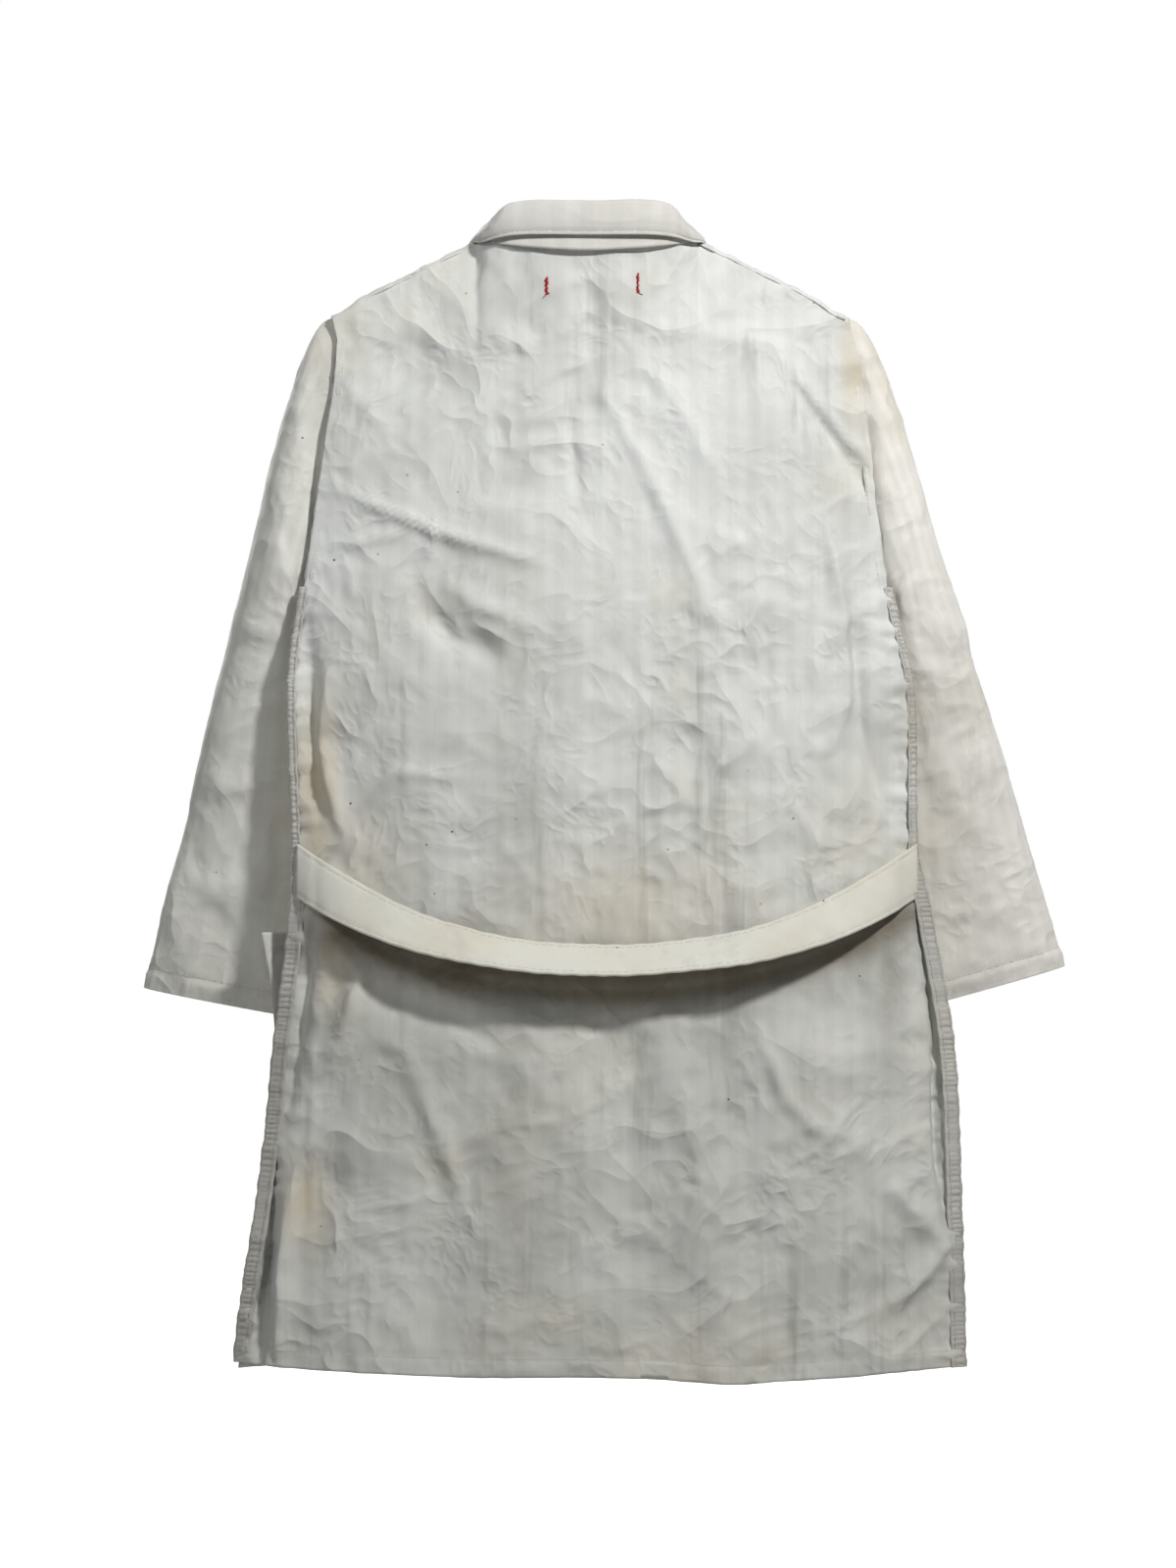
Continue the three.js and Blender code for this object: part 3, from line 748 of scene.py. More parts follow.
# ---------------------------------------------------------------- back
BACK_CREASES = [  # path, width, height, crispness
    ([(-0.223, -0.219), (-0.127, -0.261), (-0.039, -0.287)], 0.008, 0.0086, 0.7),
    ([(-0.157, -0.258), (-0.223, -0.271)], 0.006, 0.0051, 0.6),
    ([(-0.131, -0.306), (-0.088, -0.328), (-0.035, -0.350)], 0.012, 0.0060, 0.4),
    ([(-0.150, -0.322), (-0.120, -0.352), (-0.070, -0.372)], 0.014, -0.0046, 0.3),
    ([(-0.146, -0.300), (-0.128, -0.345), (-0.118, -0.392)], 0.018, -0.0058, 0.2),
    ([(-0.022, -0.122), (-0.013, -0.190), (-0.004, -0.254)], 0.005, -0.0037, 0.6),
    ([(0.175, -0.105), (0.201, -0.140), (0.254, -0.201)], 0.007, 0.0073, 0.7),
    ([(0.186, -0.128), (0.214, -0.164), (0.252, -0.226)], 0.014, -0.0086, 0.3),
    ([(0.000, -0.114), (0.050, -0.200), (0.140, -0.394)], 0.010, 0.0048, 0.5),
    ([(0.030, -0.090), (0.085, -0.155), (0.120, -0.225)], 0.012, 0.0040, 0.5),
    ([(0.228, -0.306), (0.245, -0.429), (0.276, -0.534)], 0.014, -0.0105, 0.4),
    ([(0.205, -0.230), (0.226, -0.330), (0.232, -0.420)], 0.010, 0.0086, 0.4),
    ([(0.276, -0.429), (0.282, -0.480), (0.290, -0.534)], 0.009, -0.0084, 0.3),
    ([(0.293, -0.582), (0.306, -0.656), (0.312, -0.709), (0.313, -0.814), (0.322, -0.884)],
     0.007, -0.0169, 0.3),
    ([(-0.252, -0.330), (-0.246, -0.420), (-0.238, -0.520)], 0.012, -0.0099, 0.3),
    ([(-0.232, -0.392), (-0.240, -0.440), (-0.215, -0.530)], 0.010, 0.0080, 0.5),
    ([(-0.240, -0.585), (-0.258, -0.690), (-0.270, -0.780)], 0.010, -0.0108, 0.3),
    ([(-0.236, -0.595), (-0.200, -0.650), (-0.225, -0.730)], 0.014, 0.0092, 0.4),
    ([(-0.282, -0.790), (-0.288, -0.880), (-0.290, -0.999)], 0.010, -0.0139, 0.3),
    ([(-0.262, -0.830), (-0.268, -0.900), (-0.270, -0.999)], 0.008, 0.0095, 0.3),
    ([(0.262, -0.831), (0.290, -0.862), (0.320, -0.900)], 0.012, 0.0095, 0.4),
    ([(0.262, -0.945), (0.295, -0.915), (0.325, -0.880)], 0.011, 0.0102, 0.4),
    ([(-0.157, -0.726), (-0.130, -0.790), (-0.105, -0.857)], 0.012, 0.0073, 0.4),
    ([(-0.245, -0.640), (-0.150, -0.672), (-0.060, -0.720)], 0.016, -0.0063, 0.3),
    ([(0.150, -0.700), (0.176, -0.760), (0.214, -0.800)], 0.009, 0.0063, 0.5),
    ([(0.085, -0.760), (0.098, -0.830), (0.080, -0.900)], 0.008, 0.0051, 0.5),
    ([(0.160, -0.430), (0.110, -0.470), (0.095, -0.540)], 0.010, 0.0051, 0.5),
    ([(-0.200, -0.500), (-0.170, -0.470), (-0.100, -0.476)], 0.008, 0.0045, 0.6),
]
# Soft folds that run down the skirt: x at the top and at the hem, width, height.
SKIRT_FOLDS = [
    (0.052, 0.127, 0.022, 0.0060), (0.100, 0.172, 0.020, -0.0050), (0.012, 0.060, 0.026, -0.0040),
    (-0.060, -0.085, 0.026, 0.0035), (-0.115, -0.140, 0.024, -0.0032), (0.180, 0.232, 0.022, 0.0040),
    (-0.190, -0.226, 0.022, 0.0030),
]


BELT_ENDS = (-0.259, 0.293)
BELT_HALF = 0.024
BELT_TILT = 1.05


def belt_centre_z(reach):
    return -0.634 + 0.076 * reach**2.3


BACK_STAINS_AND_SHADE = [  # kind, x, z, half width, half height, amount
    ("yellowed", -0.240, -0.490, 0.020, 0.075, 0.55), ("yellowed", -0.215, -0.560, 0.050, 0.060, 0.25),
    ("yellowed", -0.247, -0.850, 0.022, 0.040, 0.40), ("yellowed", 0.030, -0.590, 0.090, 0.050, 0.28),
    ("yellowed", 0.238, -0.110, 0.012, 0.050, 0.40), ("yellowed", -0.226, -0.640, 0.020, 0.050, 0.35),
    ("darkened", -0.070, -0.500, 0.030, 0.150, 0.16), ("darkened", -0.068, -0.760, 0.026, 0.200, 0.20),
    ("darkened", 0.110, -0.820, 0.050, 0.200, 0.12), ("darkened", -0.150, -0.720, 0.060, 0.060, 0.14),
    # The darkened bands at z -0.615 to -0.640 are painted shadow of the belt, and the narrow one at x
    # 0.268 is painted shade in the fold by the right side seam.
    ("darkened", 0.010, -0.640, 0.200, 0.022, 0.55), ("darkened", -0.150, -0.615, 0.110, 0.024, 0.40),
    ("darkened", 0.200, -0.620, 0.090, 0.026, 0.40), ("darkened", 0.268, -0.640, 0.014, 0.090, 0.35),
    ("darkened", -0.008, -0.190, 0.005, 0.060, 0.12), ("darkened", 0.230, -0.300, 0.016, 0.060, 0.14),
]
# Painted shadow of the belt, partly grime: a dark band on the back just under the belt's lower edge.
for share in np.linspace(0.08, 0.98, 72):
    for below in (0.018, 0.032):
        belt_shadow_z = belt_centre_z(abs(2 * share - 1)) - below
        BACK_STAINS_AND_SHADE.append(("belt_shadow_grime", mix(*BELT_ENDS, share), belt_shadow_z, 0.024, 0.013, 0.66))


def lower_edge_x(u):
    return mix(EDGE[LEFT](HEM_Z), EDGE[RIGHT](HEM_Z), u)


def closer_at_edges(u, share=0.45):
    """Grid lines drawn towards both side seams."""
    return mix(u, (1 - np.cos(np.pi * u)) / 2, share)


def back_place(u, v):
    u, v = closer_at_edges(u), mix(v, v * v, 0.3)
    top_x = mix(EDGE[LEFT](SHOULDER_TIP_Z), EDGE[RIGHT](SHOULDER_TIP_Z), u)
    dip = 0.006 * np.maximum(1 - (top_x / NECK_HALF) ** 2, 0)
    top_z = np.where(np.abs(top_x) > NECK_HALF, shoulder_z(top_x), NECK_TOP_Z - dip)
    z = mix(hem_z(lower_edge_x(u)), top_z, v)
    x = mix(EDGE[LEFT](z), EDGE[RIGHT](z), u)
    return x, back_y(x, z), z


def back_relief(u, v, x, y, z):
    lift = np.zeros(np.shape(x))
    for path, width, height, crisp in BACK_CREASES:
        lift += crease(x, z, path, 0.85 * width, 1.25 * height, crisp)
    down = smoothstep(-0.62, -0.78, z)
    for top, foot, width, height in SKIRT_FOLDS:
        lift += height * down * bump(x, mix(top, foot, np.clip((-0.62 - z) / 0.38, 0, 1)), width)
    calm = smoothstep(0, 0.10, NECK_TOP_Z - z)
    lift += 0.0036 * grain(x, 0 * x, z, 0.110, 3) * calm
    lift += 1.3 * wrinkled(x, z, 9) * (0.30 + 0.70 * smoothstep(0.08, 0.32, NECK_TOP_Z - z))
    lift += 0.0022 * crumple(*turned(x, z, 24, 2.2), 0.050, 11)
    lift += 0.0018 * crumple(*turned(x, z, -58, 2.0), 0.062, 23)
    lift += 0.0010 * crumple(*turned(x, z, 80, 1.6), 0.026, 31)
    from_left, from_right = x - EDGE[LEFT](z), EDGE[RIGHT](z) - x
    sewn = smoothstep(-0.28, -0.33, z)
    lift *= 1 - 0.85 * sewn * (bump(from_left, 0, 0.012) + bump(from_right, 0, 0.012))
    lift += 0.0014 * seam_pucker(z, 0.4) * bump(from_left, 0.004, 0.014) * sewn
    lift += 0.0014 * seam_pucker(z, 2.1) * bump(from_right, 0.004, 0.014) * sewn
    above = z - hem_z(lower_edge_x(closer_at_edges(u)))
    return lift + hem_relief(above, x)


lay("back_cloth", 170, 268, back_place, BODY_TWILL, "coat_body", ["back_panel"], back_relief,
    flat=(0.66, 1.03), area=0.58, rests_on=["shoulder_strip_left", "shoulder_strip_right"],
    upright=True, stains=BACK_STAINS_AND_SHADE)


def back_hem_place(u, v):
    x = lower_edge_x(mix(0.02, 0.98, u))
    z = hem_z(x) + mix(0.0015, HEM - 0.001, v)
    return x, back_y(x, z) + 0.0028, z


held(cloth_piece("back_hem_turn", 120, 4, back_hem_place, BODY_TWILL, flat=(0.64, HEM), thick=0.0008),
     "coat_body")


def facing_place(u, v):
    x = mix(-0.086, 0.086, u)
    z = mix(-0.028 + 0.014 * np.abs(2 * u - 1) ** 2, -0.005, v)
    return x, back_y(x, z) + 0.0040, z


lay("neck_facing", 40, 8, facing_place, BODY_TWILL, "coat_body", ["back_neck_facing"],
    flat=(0.18, 0.024), thick=0.0010)


def label_place(u, v):
    x, z = mix(-0.022, 0.031, u), mix(-0.025, -0.008, v)
    return x, back_y(x, z) + 0.0060 + 0.0006 * np.sin(np.pi * v), z


lay("neck_label", 20, 8, label_place, COTTON_TAPE, "coat_body", ["neck_label_blank"],
    flat=(0.053, 0.017), finish="label_tape", thick=0.0006)
LOOP_ENDS, LOOP_Z = (-0.0380, 0.0470), -0.040


def loop_place(u, v):
    bow = 1 - (2 * u - 1) ** 2
    x = mix(*LOOP_ENDS, u)
    z = LOOP_Z + mix(-0.0045, 0.0045, v) - 0.016 * bow
    return x, back_y(x, LOOP_Z) + 0.003 + 0.013 * bow, z


lay("hang_loop_tape", 48, 5, loop_place, COTTON_TAPE, "hang_loop_body", ["hang_loop"],
    flat=(0.096, 0.010), finish="label_tape", thick=0.0012)


def spot_on_back(x, z, lift):
    """The point on the finished back cloth nearest to an x and a z."""
    laid = made["back_cloth"].spots
    row, column = divmod(int(np.argmin(np.hypot(laid[..., 0] - x, laid[..., 2] - z))),
                         laid.shape[1])
    normal = Vector(made["back_cloth"].normals[row, column])
    return Vector((x, laid[row, column, 1], z)) + normal * lift, normal


def red_tack(name, node, x, z_low, z_high, wide, tail):
    """A bar tack: close zigzag stitches over a loop's end, with one loose thread tail."""
    bm = bmesh.new()
    turns = 15
    spots = []
    for i in range(turns + 1):
        side = wide if i % 2 else -wide
        sway = 0.0004 * math.sin(i * 2.4)
        spots.append((x + side * (0.7 + 0.3 * math.sin(i * 1.7)) + sway, mix(z_low, z_high, i / turns)))
    tails = [(x + a, z_low + b) for a, b in tail]
    for path, thick in ((spots, 0.00072), (tails, 0.00036)):
        for (x0, z0), (x1, z1) in zip(path, path[1:]):
            a, normal = spot_on_back(x0, z0, 0.0013)
            b, _ = spot_on_back(x1, z1, 0.0013)
            along = (b - a).normalized()
            across = normal.cross(along).normalized()
            axes = (along, across, along.cross(across))
            bead(bm, (a + b) / 2, axes, ((b - a).length * 0.56, thick, thick), 2)
    held(finished(name, bm, RED_THREAD), "coat_body", [node])


red_tack("red_tack_left", "bar_tack_left", -0.0365, -0.0480, -0.0325, 0.0019,
         [(0, 0.001), (-0.0022, -0.0026), (-0.0034, -0.0030)])
red_tack("red_tack_right", "bar_tack_right", 0.0440, -0.0460, -0.0290, 0.0013,
         [(0, 0.001), (0.0016, -0.0012), (0.0042, -0.0022)])


# ---------------------------------------------------------------- felled seams
SEAM_WIDTH, SEAM_WIDTH_ABOVE_BELT = 0.010, 0.0035


def seam_strip(side, u, z):
    """Round the side edge, from the inner side of the back to the front."""
    out = OUTWARD[side]
    width = mix(SEAM_WIDTH, SEAM_WIDTH_ABOVE_BELT, smoothstep(-0.570, -0.520, z))
    reach = np.where(u < 0.7, mix(-width, 0.0035, np.sin(np.clip(u / 0.7, 0, 1) * np.pi / 2)),
                     mix(0.0035, -0.0045, (u - 0.7) / 0.3))
    x = EDGE[side](z) + out * reach
    inside = EDGE[side](z) + out * np.minimum(reach, 0)
    behind = back_y(inside, z) - 0.0016
    front = front_y(inside, z) + 0.0022
    return x, mix(behind, front, smoothstep(0.52, 0.95, u)), z


def seam_relief(seed):
    def relief(u, v, x, y, z):
        drift = 0.003 * np.sin(z * 83 + seed)
        ladder = 0.00045 * np.sin(2 * np.pi * (z + drift) / 0.0047) * bump(u, 0.32, 0.24)
        wave = 0.0004 * seam_pucker(z, seed) + ladder * (1 + 0.6 * np.sin(z * 47 + seed))
        grooves = 0.0006 * (bump(u, 0.12, 0.07) + bump(u, 0.52, 0.07))
        return wave - grooves + 0.0006

    return relief


for side in (LEFT, RIGHT):
    lay(f"side_seam_strip_{side}", 14, 620,
        lambda u, v, side=side: seam_strip(side, u, mix(hem_z(OUTWARD[side] * 0.32), -0.306, v)),
        SEAM_TWILL, "coat_body", [f"side_seam_{side}"], seam_relief(1.3 if side == LEFT else 4.2),
        flat=(0.020, 0.70), thick=0.0012, flipped=side == LEFT)

    def shoulder_place(u, v, out=OUTWARD[side]):
        x = out * mix(0.100, 0.229, u)
        arch = 0.0016 - 0.0042 * (2 * v - 1) ** 2
        return x, mix(-0.0034, 0.0048, v) + 0 * x, shoulder_z(x) + arch

    lay(f"shoulder_strip_{side}", 60, 8, shoulder_place, BODY_TWILL, "coat_body",
        [f"shoulder_seam_{side}"],
        lambda u, v, x, y, z: 0.0005 * seam_pucker(x, 0.7) - 0.0006 * bump(v, 0.75, 0.08),
        flat=(0.150, 0.014), thick=0.0012, flipped=side == LEFT)

    def armhole_place(u, v, side=side):
        z = mix(-0.312, -0.064, v)
        x = EDGE[side](z) + OUTWARD[side] * mix(-0.008, 0.0010, u)
        inside = np.where(np.abs(x) > np.abs(EDGE[side](z)), EDGE[side](z), x)
        return x, back_y(inside, z) - 0.0009 + 0.0060 * u**3, z

    lay(f"armhole_strip_{side}", 10, 110, armhole_place, BODY_TWILL, "coat_body", (),
        lambda u, v, x, y, z: 0.0005 * seam_pucker(z, 1.9) - 0.0006 * bump(u, 0.12, 0.1),
        flat=(0.011, 0.26), thick=0.0010, flipped=side == LEFT)


# ---------------------------------------------------------------- back belt
def belt_place(u, v):
    reach = np.abs(2 * u - 1)
    tilt = BELT_TILT * (1 - reach**3)
    across = mix(-BELT_HALF, BELT_HALF, v)
    x = mix(*BELT_ENDS, u)
    z = belt_centre_z(reach) + across * np.cos(tilt)
    top_z = belt_centre_z(reach) + BELT_HALF * np.cos(tilt)
    nearest = back_y(x, top_z) - mix(0.006, 0.005, reach**4)
    return x, nearest - (BELT_HALF - across) * np.sin(tilt), z


def belt_relief(u, v, x, y, z):
    edges = -0.0006 * (bump(v, 0.09, 0.03) + bump(v, 0.90, 0.03))
    wander = 0.004 * np.sin(x * 51)
    ripple = 0.0003 * np.sin(2 * np.pi * (x + wander) / 0.021)
    ripple = ripple * (bump(v, 0.0, 0.25) + bump(v, 1, 0.2))
    soft = 0.0012 * grain(x, 0 * x, 0.4 * z, 0.060, 5)
    fold = crease(x, z, [(-0.118, -0.604), (-0.104, -0.622), (-0.090, -0.630)], 0.006, 0.0030, 0.4)
    end_fold = -0.0006 * bump(x, -0.241, 0.004)
    end_right = -0.0014 * bump(x, 0.280, 0.005)
    return edges + ripple + soft + fold + end_fold + end_right


lay("belt_cloth", 260, 22, belt_place, BELT_TWILL, BELT_TURN,
    ["back_belt", "belt_end_left", "belt_end_right"], belt_relief, flat=(0.60, 0.048),
    finish="belt_twill", rests_on=["side_seam_strip_left", "side_seam_strip_right"], thick=0.0024)


# ---------------------------------------------------------------- fronts
def front_inner(side, z):
    """The front's free edge, and above the chest the lapel's roll line."""
    return np.where(z < CHEST_Z, FRONT_EDGE[side](z), ROLL_LINE[side](z))


def front_place(side):
    def place(u, v):
        out = OUTWARD[side]
        top_z = shoulder_z(mix(EDGE[side](SHOULDER_TIP_Z), out * (NECK_HALF + 0.001), u)) - 0.001
        z = mix(HEM_Z - 0.001, top_z, v)
        start = EDGE[side](z) - out * 0.0012
        x = mix(start, front_inner(side, z), u)
        return x, front_y(x, z), z

    return place


def under_pockets(side, x, z):
    """1 where a pocket lies on the front and holds the cloth flat."""
    inset = OUTWARD[side] * (EDGE[side](z) - x)
    held_flat = smoothstep(-0.004, 0.006, inset)
    held_flat = held_flat * smoothstep(POCKET_WIDTH + 0.030, POCKET_WIDTH + 0.010, inset)
    held_flat = held_flat * smoothstep(-0.840, -0.816, z) * smoothstep(-0.590, -0.612, z)
    if side == LEFT:
        chest = smoothstep(-0.226, -0.214, x) * smoothstep(-0.106, -0.118, x)
        chest = chest * smoothstep(-0.256, -0.242, z) * smoothstep(-0.124, -0.138, z)
        held_flat = np.maximum(held_flat, chest)
    return held_flat


def front_relief(side, seed):
    def relief(u, v, x, y, z):
        lift = 0.0030 * grain(x, 0 * x, z, 0.120, seed) * smoothstep(0, 0.15, -0.06 - z)
        lift += wrinkled(x, z, seed + 6)
        lift += 0.0020 * crumple(*turned(x, z, 30, 2.0), 0.055, seed + 12)
        lift += 0.0016 * crumple(*turned(x, z, -50, 2.0), 0.045, seed + 20)
        away = np.abs(x - EDGE[side](z))
        lift += 0.0013 * seam_pucker(z, seed) * bump(away, 0.004, 0.013) * smoothstep(-0.28, -0.33, z)
        lift += hem_relief(z - HEM_Z, x)
        near_edge = np.abs(x - FRONT_EDGE[side](z))
        stitched_edge = bump(near_edge, 0.0, 0.004) - 1.5 * bump(near_edge, 0.007, 0.003)
        lift += 0.0004 * (z < CHEST_Z) * stitched_edge
        hang = smoothstep(-0.55, -0.80, z)
        lift += 0.0040 * hang * (bump(u, 0.62, 0.12) - bump(u, 0.30, 0.13))
        return lift * (1 - 0.88 * under_pockets(side, x, z))

    return relief


def facing_strip(side):
    def place(u, v):
        z = mix(HEM_Z + 0.004, CHEST_Z - 0.004, v)
        x = FRONT_EDGE[side](z) + OUTWARD[side] * mix(0.0008, 0.062, u)
        return x, front_y(x, z) - 0.0026, z

    return place


def lapel_place(side):
    def place(u, v):
        z = mix(-0.246, mix(-0.084, -0.104, u), v)
        wide = mix(0.005, 0.062, v**0.8)
        x = ROLL_LINE[side](z) + OUTWARD[side] * wide * u
        roll = 0.0045 * np.sin(np.pi * np.minimum(u / 0.25, 1) / 2) + 0.0016 * (1 - u)
        return x, front_y(x, z) + roll, z

    return place


POCKET_TOP_Z = -0.614
POCKET_HEIGHT, POCKET_WIDTH, POCKET_GAPE = 0.200, 0.168, 0.018
POCKET_FLARE = {LEFT: 0.036, RIGHT: 0.0}  # how far the mouth's outer end stands past the side seam


def lower_pocket_place(side):
    out = OUTWARD[side]

    def place(u, v):
        z = POCKET_TOP_Z - POCKET_HEIGHT * (1 - v)
        flat_x = EDGE[side](z) - out * (0.008 + POCKET_WIDTH * u)
        bulge = POCKET_GAPE * v**1.6
        lift = bulge * np.sin(np.pi * mix(0.12, 1, u))
        flare = POCKET_FLARE[side] * v**1.8 * (1 - u) ** 3
        return flat_x + out * flare, front_y(flat_x, z) + 0.0026 + lift, z

    return place


def pocket_relief(mouth, seed):
    """A patch pocket: a turned mouth of the given depth, and edges drawn in by stitches."""
    def relief(u, v, x, y, z):
        top = z.max()
        layer = 0.0008 * smoothstep(top - mouth - 0.002, top - mouth + 0.001, z)
        edge = np.minimum(np.minimum(u, 1 - u) * 3, v * 3)
        drawn = -0.0006 * bump(edge, 0.12, 0.06)
        soft = 0.0014 * grain(x, 0 * x, z, 0.050, seed) * np.clip(edge * 2, 0, 1)
        return layer + drawn + soft + 0.0007 * crumple(*turned(x, z, 35, 1.5), 0.04, seed + 5)

    return relief


POCKET_X = (-0.212, -0.120)
POCKET_Z = (-0.240, -0.140)


def breast_gape(u, up):
    """How far the breast pocket stands off the front, from 0 at its bottom to most at its mouth."""
    return 0.007 * up**2 * np.sin(np.pi * u)


def breast_pocket_place(u, v):
    x = mix(*POCKET_X, u)
    z = mix(*POCKET_Z, v)
    return x, front_y(x, z) + 0.0026 + breast_gape(u, v), z


def breast_hem_place(u, v):
    x = mix(POCKET_X[0] + 0.002, POCKET_X[1] - 0.002, u)
    z = mix(POCKET_Z[1] - 0.020, POCKET_Z[1], v)
    up = (z - POCKET_Z[0]) / (POCKET_Z[1] - POCKET_Z[0])
    return x, front_y(x, z) + 0.0046 + breast_gape(u, up), z


for side in (LEFT, RIGHT):
    turn = FRONT_TURN[side]
    seed = 51 if side == LEFT else 77
    inward_first = side == LEFT
    lay(f"front_cloth_{side}", 84, 262, front_place(side), FRONT_TWILL, turn,
        [f"front_top_{side}", f"front_panel_{side}"], front_relief(side, seed), flat=(0.30, 1.00),
        area=0.26, rests_on=[f"shoulder_strip_{side}"], flipped=inward_first, upright=True)
    lay(f"facing_strip_{side}", 16, 150, facing_strip(side), FRONT_TWILL, turn,
        [f"front_facing_{side}"], flat=(0.062, 0.75), thick=0.0009, flipped=inward_first)
    lay(f"lapel_cloth_{side}", 24, 48, lapel_place(side), COLLAR_TWILL, turn, [f"lapel_{side}"],
        lambda u, v, x, y, z: 0.0006 * grain(x, 0 * x, z, 0.03, 8) - 0.0006 * bump(u, 0.90, 0.035),
        flat=(0.062, 0.16), area=0.006, thick=0.0020, flipped=side == RIGHT)
    lay(f"lower_pocket_cloth_{side}", 64, 76, lower_pocket_place(side), FRONT_TWILL,
        f"front_{side}_body", [f"lower_pocket_{side}"], pocket_relief(0.022, seed + 3),
        flat=(0.17, 0.20), rests_on=[f"front_cloth_{side}"], flipped=inward_first)

lay("breast_pocket_cloth", 36, 40, breast_pocket_place, FRONT_TWILL, FRONT_TURN[LEFT],
    ["breast_pocket"], pocket_relief(0.0, 19), flat=(0.092, 0.100), rests_on=["front_cloth_left"])
lay("breast_pocket_mouth", 36, 8, breast_hem_place, FRONT_TWILL, FRONT_TURN[LEFT],
    ["breast_pocket_hem"], flat=(0.088, 0.020), rests_on=["front_cloth_left"], thick=0.0024)


# ---------------------------------------------------------------- collar
def neck_curve(*points):
    """A curve given for the wearer's right, from the centre back, and mirrored to the left."""
    both = [(-x, y, z) for x, y, z in reversed(points[1:])] + list(points)
    last = len(both) - 1
    axes = [smooth_keys(*[(i / last, p[axis]) for i, p in enumerate(both)]) for axis in range(3)]
    return lambda u: np.stack([axis(u) for axis in axes], -1)


def on_front(x, z, lift):
    return x, float(front_y(np.array(x), np.array(z))) + lift, z


STAND_FOOT = neck_curve((0, -0.0372, -0.0100), (0.058, -0.0320, -0.0060), (0.085, -0.0185, -0.001),
                        (0.093, 0.000, 0.003), on_front(0.086, -0.018, 0.007),
                        on_front(0.072, -0.060, 0.009))
FOLD_LINE = neck_curve((0, -0.0360, 0.0300), (0.062, -0.0305, 0.0300), (0.083, -0.020, 0.0155),
                       (0.093, 0.002, 0.0070), on_front(0.090, -0.014, 0.015),
                       on_front(0.076, -0.058, 0.014))
FALL_EDGE = neck_curve((0, -0.0358, 0.0030), (0.060, -0.0312, 0.0035), (0.088, -0.0165, 0.0000),
                       (0.100, 0.002, -0.0005), on_front(0.116, -0.028, 0.013),
                       on_front(0.124, -0.070, 0.011))
FOLD_RADIUS = 0.0026
STAND_SHARE, FOLD_SHARE = 0.36, 0.50     # shares of the collar's cut width


def collar_place(u, v):
    foot, fold, edge = STAND_FOOT(u), FOLD_LINE(u), FALL_EDGE(u)
    outward = np.stack([fold[..., 0], 3 * fold[..., 1] - 0.020, 0 * u], -1)
    outward /= np.linalg.norm(outward, axis=-1, keepdims=True)
    up = np.array([0, 0, 1.0])
    rise = np.clip(v / STAND_SHARE, 0, 1)[..., None]
    turn = np.clip((v - STAND_SHARE) / (FOLD_SHARE - STAND_SHARE), 0, 1)[..., None] * np.pi
    fall = np.clip((v - FOLD_SHARE) / (1 - FOLD_SHARE), 0, 1)[..., None]
    spot = mix(mix(foot, fold, rise), edge, fall)
    spot = spot + outward * (FOLD_RADIUS * (1 - np.cos(turn)) + 0.0022 * np.sin(np.pi * fall))
    spot = spot + up * FOLD_RADIUS * np.sin(turn)
    return spot[..., 0], spot[..., 1], spot[..., 2]


def collar_relief(u, v, x, y, z):
    across = 0.36 * (u - 0.5)
    soft = 0.0012 * grain(across, 0 * u, 0.08 * v, 0.045, 71)
    fine = 0.0006 * crumple(across, 0.08 * v, 0.03, 75)
    groove = -0.0006 * bump(v, 0.93, 0.025)
    return (soft + fine) * smoothstep(0, 0.2, v) + groove


lay("collar_cloth", 180, 44, collar_place, COLLAR_TWILL, "coat_body",
    ["collar_stand", "under_collar", "collar_fall"], collar_relief, flat=(0.46, 0.085), area=0.028,
    how="folded", rests_on=["back_cloth"], thick=0.0022, flipped=True)


# ---------------------------------------------------------------- sleeves
# Share of the length, outer edge x z, inner edge x z, middle y, half depth, all in millimetres.
SLEEVE_KEYS = {
    LEFT: [(0, -222, -64, -244, -300, 1.5, 1.5), (0.04, -240, -72, -246, -304, 9, 10),
           (0.1, -260, -112, -249, -311, 17, 24), (0.2, -284, -190, -251, -321, 28, 36),
           (0.3, -304, -268, -253, -334, 38, 43), (0.6, -350, -446, -257, -476, 66, 34),
           (1, -406, -668, -254, -697, 90, 18)],
    RIGHT: [(0, 225, -64, 260, -302, 1.5, 1.5), (0.04, 244, -72, 263, -306, 9, 10),
            (0.1, 264, -110, 267, -316, 17, 24), (0.2, 292, -190, 270, -325, 28, 36),
            (0.3, 316, -268, 274, -338, 38, 43), (0.6, 374, -446, 282, -476, 66, 34),
            (1, 436, -648, 286, -690, 90, 18)],
}


def sleeve_ring(side, pull=0.0):
    """place(u, v) of a sleeve: u runs round it and v from the cuff up to the armhole."""
    rows = SLEEVE_KEYS[side]
    curves = [smooth_keys(*[(row[0], row[k] * MM) for row in rows]) for k in range(1, 7)]

    def place(u, v):
        out_x, out_z, in_x, in_z, mid_y, deep = [curve(1 - v) for curve in curves]
        turn = 2 * np.pi * u
        half_x, half_z = (out_x - in_x) / 2, (out_z - in_z) / 2
        reach = np.hypot(half_x, half_z)
        shrink = (reach - pull) / reach
        # Cloth under its own weight hangs flatter than an ellipse.
        wide = np.sign(np.cos(turn)) * np.abs(np.cos(turn)) ** 0.9
        x = (out_x + in_x) / 2 + half_x * shrink * wide
        z = (out_z + in_z) / 2 + half_z * shrink * wide
        return x, mid_y + OUTWARD[side] * (deep - pull) * np.sin(turn), z

    return place


